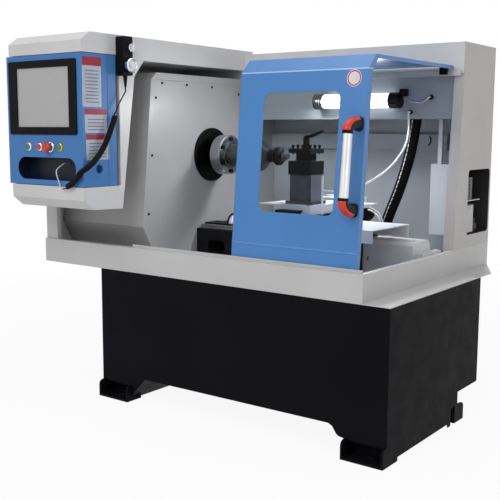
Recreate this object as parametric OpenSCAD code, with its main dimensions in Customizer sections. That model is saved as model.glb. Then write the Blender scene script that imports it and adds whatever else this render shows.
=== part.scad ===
// Wheel rim lathe: a bed lathe in a sheet-metal enclosure that turns the face of a car wheel held on a mandrel.
// Millimetres, +Z up, front faces -Y, origin on the floor at the middle of the machine's outline.

/* [Cabinet] */
// Height of the cabinet's top above the floor
base_h = 545; // [400:1:700]
// Depth of the cabinet
base_d = 770; // [600:1:1000]
// Height of the front panel's bottom edge
base_gap = 110; // [60:1:160]
// Wall thickness of the cabinet
base_t = 4; // [2:0.5:8]
// Depth of the low part of the cabinet, from its front
skirt_d = 583; // [400:1:700]
// Width of one foot
foot_w = 165; // [120:1:220]
// Length of one foot, front to back
foot_l = 83; // [60:1:120]
// Height of a foot's cheeks
foot_h = 68; // [40:1:100]
// How far the front feet stand out in front of the cabinet
foot_out = 25; // [0:1:50]
// Length of the anchor slot
slot_l = 45; // [30:1:80]
// Width of the anchor slot
slot_w = 20; // [12:1:30]

/* [Tray and enclosure] */
// Width of the chip tray and enclosure
tray_w = 1595; // [1300:1:2000]
// Depth of the chip tray and enclosure
tray_d = 1100; // [1000:1:1300]
// Height of the chip tray's wall
tray_h = 101; // [70:1:140]
// Overhang of the tray past the cabinet's left end
tray_over = 350; // [100:1:450]
// Width of the ledge right of the tray
ledge_w = 105; // [40:1:160]
// Depth of the ledge
ledge_d = 879; // [780:1:1000]
// Height of the enclosure above the tray
wall_h = 823; // [780:1:1000]
// Sheet thickness
sheet = 3; // [2:0.5:5]
// Height of the header box
header_h = 123; // [80:1:160]
// Depth of the header box
header_d = 321; // [280:1:360]
// Depth of the right side panel at its foot
side_d = 370; // [330:1:420]
// Lean of the right side panel's front edge
side_lean = 54; // [0:1:80]
// Width of the side panels' front flanges
flange_w = 40; // [20:1:80]
// Height of the lamp panel
lamp_panel_h = 176; // [120:1:220]
// Width of the side window
side_win_w = 230; // [150:1:240]
// Height of the side window
side_win_h = 267; // [150:1:300]

/* [Headstock] */
// Distance of the spindle axis behind the tray's front
spin_y = 547; // [500:1:600]
// Height of the spindle axis above the floor
spin_z = 1012; // [980:1:1060]
// Distance of the spindle face panel from the tray's left end
face_x = 499; // [470:1:520]
// Radius of the spindle journal
journal_r = 60; // [50:0.5:70]
// Radial running clearance of the journal
journal_gap = 0.05; // [0.02:0.01:0.1]
// Outer radius of the black cover ring
ring_r = 119; // [100:1:140]
// Thickness of the black cover ring
ring_t = 12; // [6:1:20]
// Radius of the spindle flange
nose_r = 87; // [75:1:95]
// Thickness of the spindle flange
nose_t = 52; // [30:1:60]
// Distance of the flange's rear face from the face panel
nose_out = 61; // [20:1:80]
// Radius of the mandrel behind the jaws
arbor_r = 48; // [40:1:54]
// Radius of the centring cone
cone_r = 66; // [50:1:80]
// Radius of the mandrel's thread
thread_r = 20; // [15:1:24]
// Radius of the hand nut
nut_r = 39; // [32:1:45]

/* [Bed and slides] */
// Width of the bed
bed_w = 204; // [160:1:240]
// Height of the bed's rail seats above the floor
bed_h = 686; // [660:1:700]
// Length of the bed
bed_l = 830; // [780:1:840]
// Distance between the guide rails' centres
rail_pitch = 148; // [120:1:160]
// Width of a guide rail
rail_w = 20; // [15:1:25]
// Height of a guide rail
rail_h = 18; // [12:1:22]
// Radius of the arched way cover
arch_r = 40; // [30:1:42]
// Length of the saddle
saddle_l = 200; // [160:1:220]
// Distance of the saddle's left face from the spindle face panel
saddle_out = 507; // [490:1:520]
// Width of the cross slide
cross_w = 170; // [140:1:190]
// Width of the tool riser
riser_w = 100; // [80:1:120]
// Width of the tool post block
post_w = 102; // [80:1:120]
// Height of the tool post block
post_h = 102; // [80:1:120]
// Height of the tool post's clamping gap
post_gap = 30; // [24:1:36]

/* [Door] */
// Distance of the door's left edge from the machine's middle
door_x = 173; // [150:1:200]
// Width of the door
door_w = 531; // [450:1:540]
// Width of the door's window
win_w = 317; // [250:1:360]
// Height of the door's window
win_h = 425; // [300:1:460]
// Corner radius of the door's window
win_r = 28; // [10:1:40]
// Length of the door's grip
grip_l = 212; // [150:1:240]
// Radius of the door's grip
grip_r = 17; // [12:1:20]
// Distance of the grip's axis from the door's face
grip_y = 72; // [55:1:85]

/* [Control arm and box] */
// Width of the control arm
arm_w = 424; // [400:1:480]
// Reach of the control arm in front of the tray
arm_out = 236; // [200:1:300]
// Height of the arm's shelves
arm_shelf = 92; // [60:1:120]
// Width of the control box
box_w = 440; // [400:1:480]
// Height of the control box
box_h = 505; // [450:1:520]
// Depth of the control box
box_d = 176; // [150:1:180]
// Screen width
screen_w = 304; // [250:1:340]
// Screen height
screen_h = 229; // [180:1:240]
// Width of the keyboard recess
recess_w = 344; // [300:1:380]
// Height of the keyboard recess
recess_h = 88; // [60:1:100]
// Depth of the keyboard recess
recess_d = 60; // [40:1:80]
// Radius of the pendant's handwheel
wheel_r = 28; // [20:1:34]
// Thickness of the pendant
pen_t = 40; // [25:1:50]

/* [Hidden] */
$fn = 48;

seat = 0.3;
base_w = tray_w + ledge_w - tray_over;
x_left = -(tray_w + ledge_w) / 2;
x_right = x_left + tray_w;
x_base = x_left + tray_over;
x_end = x_base + base_w;
estop_out = 34;
y_shift = -(tray_d - arm_out - estop_out) / 2;
z_floor = base_h + sheet;
z_rim = base_h + tray_h;
z_top = z_rim + wall_h;
z_head = z_top - header_h;
y_head = tray_d - header_d;
y_back = tray_d - 50;
y_lamp = y_head + 18;
x_face = x_left + face_x;
saddle_x = x_face + saddle_out;

grey = [0.70, 0.70, 0.71];
pale = [0.80, 0.82, 0.84];
blue = [0.29, 0.49, 0.72];
black = [0.09, 0.09, 0.10];
iron = [0.16, 0.17, 0.19];
steel = [0.72, 0.73, 0.75];
white = [0.86, 0.87, 0.89];
red = [0.75, 0.12, 0.10];
green = [0.15, 0.55, 0.28];
glass = [0.80, 0.88, 0.90];

// Sets a part out from the front face of the tray.
module set_out() {
    translate([0, y_shift, 0])
        children();
}

// Box between two corners.
module span(a, b) {
    translate(a)
        cube(b - a);
}

// Side profile drawn in Y and Z, run along X.
module side_run(x0, x1, pts) {
    translate([x0, 0, 0])
        rotate([90, 0, 90])
            linear_extrude(x1 - x0)
                polygon(pts);
}

// Front profile drawn in X and Z, run along Y.
module front_run(y0, y1) {
    translate([0, y1, 0])
        rotate([90, 0, 0])
            linear_extrude(y1 - y0)
                children();
}

// Round bar along X.
module bar_x(x0, x1, r, y, z) {
    translate([x0, y, z])
        rotate([0, 90, 0])
            cylinder(h = x1 - x0, r = r);
}

// Round bar along Y.
module bar_y(y0, y1, r, x, z) {
    translate([x, y1, z])
        rotate([90, 0, 0])
            cylinder(h = y1 - y0, r = r);
}

// Flat rectangle with round corners, drawn from its middle.
module round_rect(w, h, r) {
    square([w - 2 * r, h], center = true);
    square([w, h - 2 * r], center = true);
    for (sx = [-1, 1], sy = [-1, 1])
        translate([sx * (w / 2 - r), sy * (h / 2 - r)])
            circle(r);
}

// Tube swept along a route of points, with n sides.
function unit(v) = v / norm(v);
function along(p, i) = unit(p[min(i + 1, len(p) - 1)] - p[max(i - 1, 0)]);
// Crosswise axis of a ring, taken from a fixed direction that no tube runs along.
function flat_side(t) = unit(cross(t, [0, -1, 1]));
function ring_at(p, i, r, n) = let (t = along(p, i), u = flat_side(t), v = cross(t, u))
    [for (k = [0:n - 1]) p[i] + r * (cos(360 * k / n) * u + sin(360 * k / n) * v)];
// Catmull-Rom points between the route's own points, m to a span.
function mid(a, b, c, d, t) = 0.5 * (2 * b + (c - a) * t + (2 * a - 5 * b + 4 * c - d) * t * t
    + (3 * b - a - 3 * c + d) * t * t * t);
function smooth(p, m) = concat([for (i = [0:len(p) - 2], j = [0:m - 1])
    mid(p[max(i - 1, 0)], p[i], p[i + 1], p[min(i + 2, len(p) - 1)], j / m)], [p[len(p) - 1]]);

module tube(route, r, n, m) {
    tube_of(route, [for (i = route) r], n, m);
}

// The same with a radius for each of the route's points.
module tube_of(route, radii, n, m) {
    p = smooth(route, m);
    k = len(p);
    pts = [for (i = [0:k - 1]) let (a = floor(i / m), b = min(a + 1, len(radii) - 1))
        each ring_at(p, i, radii[a] + (radii[b] - radii[a]) * (i / m - a), n)];
    skin = [for (i = [0:k - 2], j = [0:n - 1], f = [0, 1])
        f == 0 ? [i * n + j, i * n + (j + 1) % n, (i + 1) * n + j]
            : [i * n + (j + 1) % n, (i + 1) * n + (j + 1) % n, (i + 1) * n + j]];
    caps = [[for (j = [0:n - 1]) n - 1 - j], [for (j = [0:n - 1]) (k - 1) * n + j]];
    polyhedron(points = pts, faces = [for (f = concat(skin, caps)) [for (q = [len(f) - 1:-1:0]) f[q]]]);
}

// ---- Cabinet ----------------------------------------------------------------------------------------

// Outline of the cabinet's front: a long arch between the feet.
module cabinet_outline(t) {
    x0 = x_base + t;
    x1 = x_end - t;
    zt = base_h - t;
    polygon([[x0, 0], [x_base + 145 - t, 0], [x_base + 244 - t, base_gap - 5 + t], [x_end - 230 + t,
        base_gap + t],
        [x_end - 213 + t, base_gap - 8 + t], [x_end - 196 + t, base_gap - 33 + t],
        [x_end - 185 + t, base_gap - 39 + t], [x_end - foot_w + t, foot_h + t], [x_end - foot_w + t, 0],
            [x1, 0],
        [x1, zt], [x0, zt]]);
}

module base_cabinet() {
    color(black) set_out() {
        difference() {
            union() {
                front_run(0, skirt_d)
                    cabinet_outline(0);
                span([x_base, skirt_d, base_gap + 11], [x_end, base_d, base_h]);
            }
            front_run(base_t, skirt_d - base_t)
                cabinet_outline(base_t);
            span([x_base + base_t, skirt_d - 2 * base_t, base_gap + 11 + base_t],
                [x_end - base_t, base_d - base_t, base_h - base_t]);
            for (x = [x_base, x_end - foot_w])
                for (y = [0, skirt_d - foot_l + foot_out])
                    span([x - 1, y - 1, -1], [x + foot_w + 1, y + foot_l - foot_out + 1, foot_h + seat]);
            // Room for the lowest strip of the skirt, which stays clear of the floor.
            span([x_end - base_t - 1, foot_l, -1], [x_end + 1, skirt_d - foot_l, 14]);
        }
    }
}

// One foot: an open-fronted shoe with two cheeks, a back plate and a slotted sole.
module foot(x, y, back) {
    translate([x, y, 0])
        mirror([0, back ? 1 : 0, 0]) {
            difference() {
                span([0, 0, 0], [foot_w, foot_l, 10]);
                translate([foot_w / 2, 50, -1])
                    linear_extrude(12) {
                        square([slot_l - slot_w, slot_w], center = true);
                        for (s = [-1, 1])
                            translate([s * (slot_l - slot_w) / 2, 0])
                                circle(slot_w / 2);
                    }
            }
            span([0, foot_l - 8, 10], [foot_w, foot_l, foot_h]);
            span([8, foot_out + 8, foot_h - 8], [foot_w - 8, foot_l - 8, foot_h]);
            for (cx = [0, foot_w - 8])
                difference() {
                    span([cx, 0, 10], [cx + 8, foot_l - 8, foot_h]);
                    difference() {
                        span([cx - 1, -1, foot_h - 20], [cx + 9, 20, foot_h + 1]);
                        bar_x(cx - 2, cx + 10, 20, 20, foot_h - 20);
                    }
                }
        }
}

module mounting_feet() {
    color(black) set_out() {
        for (x = [x_base, x_end - foot_w]) {
            foot(x, -foot_out, false);
            foot(x, skirt_d + 60, true);
        }
    }
}

// ---- Enclosure --------------------------------------------------------------------------------------

module chip_tray() {
    color(grey) set_out() {
        difference() {
            span([x_left, 0, base_h], [x_right, tray_d, z_rim]);
            span([x_left + sheet, sheet, z_floor], [x_right - sheet, tray_d - sheet, z_rim + 1]);
        }
        // Front gutter that carries the door's foot, and the rims at both ends.
        span([x_left + sheet, sheet, z_rim - sheet], [x_right - sheet, 22, z_rim]);
        span([x_right - 22, 22, z_rim - sheet], [x_right - sheet, y_head, z_rim]);
        // Ledge over the cabinet's right end, which narrows behind it.
        translate([0, 0, base_h])
            linear_extrude(sheet)
                polygon([[x_right, 0], [x_end, 0], [x_end, ledge_d], [x_right, tray_d]]);
    }
}

module left_end_panel() {
    color(grey) set_out() {
        span([x_left, 10, z_rim], [x_left + sheet, tray_d - sheet, z_top]);
        span([x_left + sheet, 10, z_rim], [x_left + flange_w + 29, 10 + sheet, z_top]);
        span([x_left + flange_w + 29 - sheet, 10 + sheet, z_rim], [x_left + flange_w + 29, 30, z_top]);
        // Short front top that closes the post.
        span([x_left + sheet, 10 + sheet, z_top - sheet], [x_left + flange_w + 29 - sheet, y_head, z_top]);
    }
}

module rear_panel() {
    color(grey) set_out() {
        difference() {
            span([x_left, tray_d - sheet, z_rim], [x_right, tray_d, z_top]);
            for (c = [x_left + 330, x_right - 330], k = [0:5])
                translate([c, tray_d + 1, z_rim + 480 + 30 * k])
                    rotate([90, 0, 0])
                        linear_extrude(sheet + 2)
                            round_rect(180, 10, 4.9);
        }
    }
}

module right_side_panel() {
    yf = tray_d - side_d;
    color(grey) set_out() {
        difference() {
            side_run(x_right - sheet, x_right, [[yf, z_rim], [yf + side_lean, z_head], [y_head, z_head],
                [y_head, z_top], [tray_d - sheet, z_top], [tray_d - sheet, z_rim]]);
            translate([x_right - sheet - 1, tray_d - 10 - side_win_w / 2, z_rim + 51 + side_win_h / 2])
                rotate([90, 0, 90])
                    linear_extrude(sheet + 2)
                        round_rect(side_win_w, side_win_h, 18);
        }
        // Front flange, leaning with the edge.
        side_run(x_right - sheet - flange_w, x_right - sheet, [[yf, z_rim], [yf + side_lean, z_head],
            [yf + side_lean + sheet, z_head], [yf + sheet, z_rim]]);
    }
}

module header_box() {
    color(grey) set_out() {
        x0 = x_left + sheet;
        x1 = x_right - sheet;
        span([x0, y_head, z_head], [x1, y_head + sheet, z_top]);
        span([x0, y_head + sheet, z_top - sheet], [x1, tray_d - sheet, z_top]);
        span([x0, y_head + sheet, z_head], [x1, tray_d - sheet, z_head + sheet]);
    }
}

module lamp_panel() {
    color(pale) set_out() {
        x1 = x_right - sheet - flange_w - 1;
        span([x_face, y_lamp, z_head - lamp_panel_h], [x1, y_lamp + sheet, z_head]);
        span([x_face, y_lamp + sheet, z_head - lamp_panel_h], [x1, y_lamp + 22,
            z_head - lamp_panel_h + sheet]);
    }
}

module inner_back_panel() {
    color(pale) set_out() {
        difference() {
            span([x_face, y_back - sheet, z_floor], [x_right - sheet, y_back, z_head]);
            span([elec_x - seat, y_back - sheet - 1, z_floor - 1], [x_right, y_back + 1, elec_z1 + seat]);
        }
        // Cable duct across the back wall.
        difference() {
            span([x_face, y_back - 28, z_head - 308], [elec_x - 8, y_back - sheet, z_head - 239]);
            span([x_face - 1, y_back - 28 + 2, z_head - 306], [elec_x - 6, y_back - sheet + 1, z_head - 241]);
        }
    }
}

elec_x = 583;
elec_y = tray_d - 250;
elec_z0 = z_rim + 46;
elec_z1 = elec_z0 + 293;

module electrics_housing() {
    color(pale) set_out() {
        difference() {
            span([elec_x, elec_y, elec_z0], [x_right - sheet, tray_d - sheet, elec_z1]);
            span([elec_x + 2, elec_y + 2, elec_z0 + 2], [x_right - sheet + 1, tray_d - sheet - 2,
                elec_z1 - 2]);
        }
        span([elec_x + 29, elec_y, elec_z1], [elec_x + 46, elec_y + 17, z_head - lamp_panel_h]);
        span([elec_x + 59, elec_y + 20, z_floor], [elec_x + 107, elec_y + 120, elec_z0]);
    }
}

module electrics_units() {
    zs = elec_z0 + 144;
    x0 = elec_x + 40;
    x1 = x_right - sheet - 1;
    y0 = elec_y + 14;
    color(iron) set_out() {
        // Shelf, with the drive on it and the supply below.
        span([elec_x + 2, elec_y + 6, zs], [x1, y0 + 134, zs + 4]);
        span([x0, y0, zs + 4], [x1 - 8, y0 + 66, zs + 96]);
        span([x0, y0, elec_z0 + 12], [x1 - 8, y0 + 88, zs - 16]);
        span([x0 + 10, y0 + 4, elec_z0 + 2], [x1 - 24, y0 + 66, elec_z0 + 12]);
        // Terminals of the drive and cover of the supply.
        for (j = [0, 1], k = [0:4])
            span([x1 - 8, y0 + 8 + 26 * j, zs + 12 + 16 * k], [x1 - 3, y0 + 24 + 26 * j, zs + 22 + 16 * k]);
        span([x1 - 8, y0 + 14, elec_z0 + 24], [x1 - 5, y0 + 64, zs - 30]);
        // Rail of relays behind them.
        span([x0, y0 + 110, elec_z0 + 2], [x1 - 40, y0 + 190, elec_z0 + 60]);
        for (k = [0:4])
            span([x1 - 40, y0 + 114 + 15 * k, elec_z0 + 10], [x1 - 30, y0 + 125 + 15 * k, elec_z0 + 40]);
    }
}

// ---- Headstock --------------------------------------------------------------------------------------

// Outline of the headstock cover, set in by t, with its foot at z.
function head_outline(t, z) = [[151 + t, z], [151 + t, z_rim - 20 + t * 0.3], [98 + t, z_rim + 74 + t * 0.5],
    [158 + t, z_head - 19 - t * 0.4], [189 + t * 0.6, z_head + 10 - t], [y_head - seat - t, z_head + 10 - t],
    [y_head - seat - t, z_head - 3], [y_back - sheet - seat - t, z_head - 3 - t],
        [y_back - sheet - seat - t, z]];

module headstock_cover() {
    color(grey) set_out() {
        difference() {
            side_run(x_left + 12, x_face - sheet, head_outline(0, z_floor));
            side_run(x_left + 12 + sheet, x_face - sheet + 1, head_outline(sheet, z_floor - 1));
        }
    }
}

module spindle_face_panel() {
    color(grey) set_out() {
        difference() {
            side_run(x_face - sheet, x_face, head_outline(0, z_floor));
            bar_x(x_face - sheet - 1, x_face + 1, journal_r + 4, spin_y, spin_z);
            bed_shape(x_face - sheet - 1, x_face + 1, seat);
            // Seam of the removable lower panel.
            span([x_face - 0.8, 161, z_head - 20], [x_face + 1, y_head - 30, z_head - 18]);
        }
    }
}

module cover_screws() {
    color(iron) set_out() {
        for (p = [[223, z_head - 31], [380, z_head - 33], [552, z_head - 35], [184, z_head - 93], [158, 1015],
            [134, 772], [y_head - 30, z_head - 60], [y_head - 30, 1000], [y_head - 30, 780]])
            bar_x(x_face, x_face + 3, 5, p[0], p[1]);
        for (a = [30:60:330])
            bar_x(x_face + ring_t, x_face + ring_t + 3, 5, spin_y + (ring_r - 14) * cos(a),
                spin_z + (ring_r - 14) * sin(a));
    }
}

module headstock_casting() {
    color(iron) set_out() {
        difference() {
            union() {
                bar_x(x_left + 40, x_face - sheet, 105, spin_y, spin_z);
                span([x_left + 60, spin_y - 100, z_floor], [x_face - sheet, spin_y + 100, spin_z]);
                span([x_left + 40, spin_y - 130, z_floor], [x_face - sheet, spin_y + 130, z_floor + 60]);
            }
            bar_x(x_left + 39, x_face + 1, journal_r + journal_gap, spin_y, spin_z);
            bar_x(x_left + 110, x_face - 80, journal_r + 12, spin_y, spin_z);
        }
    }
}

module spindle_cover_ring() {
    color(black) set_out() {
        translate([x_face, spin_y, spin_z])
            rotate([0, 90, 0])
                rotate_extrude($fn = 96)
                    polygon([[journal_r + 2, 0], [ring_r, 0], [ring_r, ring_t - 3], [ring_r - 3, ring_t],
                        [nose_r + 6, ring_t], [nose_r + 3, ring_t - 4], [journal_r + 2, ring_t - 4]]);
    }
}

// Front face of the flange.
nose_x = x_face + nose_out + nose_t;

// The spindle turns: shaft, flange with a bevelled rim, and a seat bored for the mandrel.
module spindle_shaft() {
    color(steel) set_out() {
        translate([0, spin_y, spin_z])
            rotate([0, 90, 0])
                rotate_extrude($fn = 96)
                    polygon([[26, x_left + 30], [journal_r, x_left + 30], [journal_r, nose_x - nose_t],
                        [nose_r - 2, nose_x - nose_t], [nose_r, nose_x - nose_t + 2], [nose_r, nose_x - 5],
                        [nose_r - 5, nose_x], [26, nose_x]]);
    }
}

module mandrel() {
    x0 = nose_x;
    color(steel) set_out() {
        translate([0, spin_y, spin_z])
            rotate([0, 90, 0])
                rotate_extrude($fn = 96)
                    polygon([[0, x0 - 60], [26, x0 - 60], [26, x0], [collar_r, x0], [collar_r, x0 + 7],
                        [collar_r - 3, x0 + 10], [arbor_r, x0 + 10], [arbor_r, cone_x - 46], [28,
                            cone_x - 40],
                        [28, cone_x - 33], [thread_r, cone_x - 33], [thread_r, cone_x + 122],
                        [tip_r, cone_x + 124], [tip_r, cone_x + 136], [tip_r - 2, cone_x + 138],
                        [0, cone_x + 138]]);
    }
}

cone_x = x_face + 284;
cone_t = 42;
sleeve_r = 27;
collar_r = 58;
tip_r = 12;

module centring_cone() {
    color(iron) set_out() {
        translate([0, spin_y, spin_z])
            rotate([0, 90, 0])
                rotate_extrude($fn = 96)
                    polygon([[thread_r, cone_x - 33], [cone_r - 4, cone_x - 33], [cone_r, cone_x - 29],
                        [cone_r, cone_x], [sleeve_r + 1, cone_x + cone_t], [thread_r, cone_x + cone_t]]);
    }
}

// Cap screws round the flange, each with its hexagon socket.
module flange_screws() {
    color(iron) set_out() {
        translate([nose_x, spin_y, spin_z])
            for (a = [30:60:330])
                rotate([a, 0, 0])
                    translate([0, (collar_r + nose_r - 5) / 2, 0])
                        rotate([0, 90, 0])
                            difference() {
                                cylinder(h = 8, r = 8);
                                translate([0, 0, 3])
                                    cylinder(h = 6, r = 4, $fn = 6);
                            }
    }
}

// Hand nut: a sleeve against the cone and a fluted rim.
module hand_nut() {
    x0 = cone_x + cone_t + seat;
    x1 = x0 + 33;
    color(black) set_out() {
        difference() {
            translate([0, spin_y, spin_z])
                rotate([0, 90, 0])
                    rotate_extrude($fn = 96)
                        polygon([[thread_r + 0.05, x0], [sleeve_r, x0], [sleeve_r, x1], [nut_r - 7, x1],
                            [nut_r, x1 + 8], [nut_r, x1 + 20], [nut_r - 9, x1 + 29], [24, x1 + 31],
                            [24, x1 + 38], [thread_r + 0.05, x1 + 38]]);
            for (a = [0:45:315])
                bar_x(x1 - 1, x1 + 32, 7, spin_y + (nut_r + 3) * cos(a), spin_z + (nut_r + 3) * sin(a));
        }
    }
}

// ---- Bed, saddle and cross slide --------------------------------------------------------------------

step_h = 22;
step_w = 90;
z_step = bed_h + step_h;
z_rail = bed_h + rail_h;

// Outline of the bed casting, grown by g.
module bed_shape(x0, x1, g) {
    hw = bed_w / 2 + g;
    sw = step_w / 2 + g;
    side_run(x0, x1, [[spin_y - hw, z_floor - g], [spin_y + hw, z_floor - g], [spin_y + hw, bed_h + g],
        [spin_y + sw, bed_h + g], [spin_y + sw, z_step + g], [spin_y - sw, z_step + g], [spin_y - sw,
            bed_h + g],
        [spin_y - hw, bed_h + g]]);
}

bed_x0 = x_face + seat;
bed_x1 = x_face + bed_l;

module bed() {
    color(iron) set_out() {
        difference() {
            bed_shape(bed_x0, bed_x1, 0);
            // Cored windows in both sides.
            for (k = [0:4])
                translate([x_face + 110 + 150 * k, spin_y + bed_w / 2 + 1, z_floor + 62])
                    rotate([90, 0, 0])
                        linear_extrude(bed_w + 2)
                            round_rect(96, 56, 20);
        }
        // Bracket that holds the bellows' left end.
        translate([bel_x0 - 4, spin_y, z_step])
            rotate([0, 90, 0])
                rotate([0, 0, 90])
                    linear_extrude(4)
                        intersection() {
                            circle(arch_r + 5);
                            translate([-60, 0])
                                square([120, 60]);
                        }
        // Screw bearings on the rear face.
        for (x = [bed_x0 + 60, bed_x1 - 60])
            difference() {
                span([x - 20, spin_y + bed_w / 2, screw_z - 30], [x + 20, spin_y + bed_w / 2 + 70,
                    screw_z + 30]);
                bar_x(x - 21, x + 21, 12.05, screw_y, screw_z);
            }
    }
}

screw_y = spin_y + bed_w / 2 + 38;
screw_z = bed_h - 46;
bel_x0 = x_face + 130;

module guide_rails() {
    color(steel) set_out() {
        for (s = [-1, 1])
            difference() {
                span([bed_x0 + 10, spin_y + s * rail_pitch / 2 - rail_w / 2, bed_h],
                    [bed_x1 - 5, spin_y + s * rail_pitch / 2 + rail_w / 2, z_rail]);
                for (t = [-1, 1])
                    bar_x(bed_x0 + 9, bed_x1, 3, spin_y + s * rail_pitch / 2 + t * (rail_w / 2 + 1),
                        bed_h + 10);
            }
    }
}

// Half-round bellows between its bracket and the saddle: shallow pleats over a thin arch.
module way_bellows() {
    x1 = saddle_x;
    n = 15;
    pitch = (x1 - bel_x0) / n;
    color(white) set_out() {
        intersection() {
            translate([0, spin_y, z_step])
                rotate([0, 90, 0])
                    rotate_extrude($fn = 64)
                        polygon(concat([for (i = [0:n - 1]) each [[arch_r - 2, bel_x0 + i * pitch],
                            [arch_r + 2, bel_x0 + (i + 0.5) * pitch]]], [[arch_r - 2, x1]],
                            [for (i = [n - 1:-1:0]) each [[arch_r - 5, bel_x0 + (i + 1) * pitch],
                            [arch_r - 1, bel_x0 + (i + 0.5) * pitch]]], [[arch_r - 5, bel_x0]]));
            span([bel_x0, spin_y - 60, z_step], [x1, spin_y + 60, z_step + 60]);
        }
    }
}

module z_ball_screw() {
    color(steel) set_out() {
        bar_x(bed_x0 + 20, bed_x1 - 30, 12, screw_y, screw_z);
    }
}

module bed_end_cover() {
    x0 = bed_x1 + 1;
    color(grey) set_out() {
        difference() {
            side_run(x0, x_right - 50, [[spin_y - 74, z_floor], [spin_y + 76, z_floor], [spin_y + 76,
                bed_h - 4],
                [spin_y + 60, bed_h + 14], [spin_y - 66, bed_h + 14], [spin_y - 74, bed_h + 2]]);
            side_run(x0 + 2, x_right - 52, [[spin_y - 72, z_floor - 1], [spin_y + 74, z_floor - 1],
                [spin_y + 74, bed_h - 5], [spin_y + 59, bed_h + 12], [spin_y - 65, bed_h + 12],
                [spin_y - 72, bed_h + 1]]);
            translate([x0 + 22, spin_y - 72 + 3, bed_h - 60])
                rotate([90, 0, 0])
                    linear_extrude(10)
                        round_rect(6, 16, 2.9);
        }
        span([x_right - 50, spin_y - 40, z_floor], [x_right - 24, spin_y + 120, bed_h - 30]);
    }
}

z_slab = 754;
slab_t = 42;
z_cross = z_slab + slab_t;
saddle_y0 = 250;
saddle_y1 = spin_y + bed_w / 2 + 81;
shelf_z = 702;
hose_end = [387, 842];

module saddle() {
    x0 = saddle_x;
    x1 = saddle_x + saddle_l;
    color(iron) set_out() {
        difference() {
            union() {
                span([x0, saddle_y0, z_slab], [x1, saddle_y1, z_cross]);
                // Bearing blocks that ride on the two rails.
                for (s = [-1, 1])
                    span([x0 + 10, spin_y + s * rail_pitch / 2 - 24, bed_h + 4],
                        [x1 - 10, spin_y + s * rail_pitch / 2 + 24, z_slab]);
                // Nut bracket behind the bed.
                span([x0 + 60, spin_y + bed_w / 2 + 14, screw_z - 30],
                    [x1 - 60, spin_y + bed_w / 2 + 62, z_slab]);
                // Bracket for the energy hose: a web under the rear edge and a shelf.
                span([x1 - 58, saddle_y1 - 8, shelf_z - 8], [x1, saddle_y1, z_slab]);
                span([x1 - 58, saddle_y1 - 8, shelf_z - 8], [hose_end[0] + 35, hose_end[1] + 35, shelf_z]);
            }
            for (s = [-1, 1])
                span([x0 - 1, spin_y + s * rail_pitch / 2 - rail_w / 2 - 0.05, bed_h],
                    [x1 + 1, spin_y + s * rail_pitch / 2 + rail_w / 2 + 0.05, z_rail + 0.05]);
            bar_x(x0 - 1, x1 + 1, 12.05, screw_y, screw_z);
        }
        // Dovetail for the cross slide.
        side_cross(saddle_y0 + 5, saddle_y1 - 5, 0);
    }
}

// Dovetail run along Y, grown by g.
module side_cross(y0, y1, g) {
    xm = saddle_x + saddle_l / 2;
    front_run(y0, y1)
        polygon([[xm - 40 - g, z_cross], [xm - 52 - g, z_cross + 18 + g], [xm + 52 + g, z_cross + 18 + g],
            [xm + 40 + g, z_cross]]);
}

module saddle_cover() {
    x0 = saddle_x + saddle_l;
    y0 = 274;
    y1 = 569;
    zt = 760;
    color(white) set_out() {
        span([x0, y0, zt - 3], [x0 + 272, y1, zt]);
        span([x0, y0, zt - 49], [x0 + 272, y0 + 3, zt - 3]);
        span([x0, y1 - 3, zt - 49], [x0 + 272, y1, zt - 3]);
        // Box over the rear end of the dovetail, with a side duct and a round filler cap.
        difference() {
            union() {
                span([saddle_x + 10, rear_y0, z_cross], [x0 - 4, saddle_y1 - 2, rear_z]);
                span([x0 - 4, rear_y0 + 30, z_cross + 10], [x0 + 50, saddle_y1 - 2, z_cross + 24]);
            }
            span([saddle_x + 12, rear_y0 + 2, z_cross - 1], [x0 - 6, saddle_y1 - 4, rear_z - 2]);
            side_cross(rear_y0 - 1, rear_y0 + 3, seat);
        }
        translate([saddle_x + 34, saddle_y1 - 40, rear_z])
            cylinder(h = 6, r = 20);
    }
}

// Blow pipe beside the tool, and two thin oil pipes that arch from the saddle's rear face to the shelf.
module saddle_pipes() {
    x = saddle_x + saddle_l;
    color(white) set_out() {
        translate([x - 6, pipe_y, z_cross]) {
            cylinder(h = 6, r = 6);
            cylinder(h = 150, r = 4);
        }
        bar_x(x - 6, fit_x, 5, pipe_y, fit_z);
        for (k = [0, 1])
            translate([x, saddle_y1 + 10 * k, 0])
                tube([[-38 - 12 * k, -10 * k, 784 + 6 * k], [-38 - 12 * k, 8 - 10 * k, 784 + 6 * k],
                    [-38 - 12 * k, 16 - 10 * k, 784 + 6 * k], [-28, 34, 786 + 8 * k], [-4, 38, 782 + 8 * k],
                    [24 + 5 * k, 40, 764 + 6 * k], [38 + 6 * k, 42, 738], [40 + 8 * k, 42, 718],
                    [40 + 8 * k, 42, 710], [40 + 8 * k, 42, shelf_z]], 3, 8, 4);
    }
}

pipe_y = 374;
fit_x = saddle_x + saddle_l + 16;
fit_z = 888;

cross_t = 36;
apron = 70;
cross_y0 = 300;
cross_y1 = 600;
rear_y0 = cross_y1 + 18;
rear_z = z_cross + 46;
z_riser = z_cross + cross_t;

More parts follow.
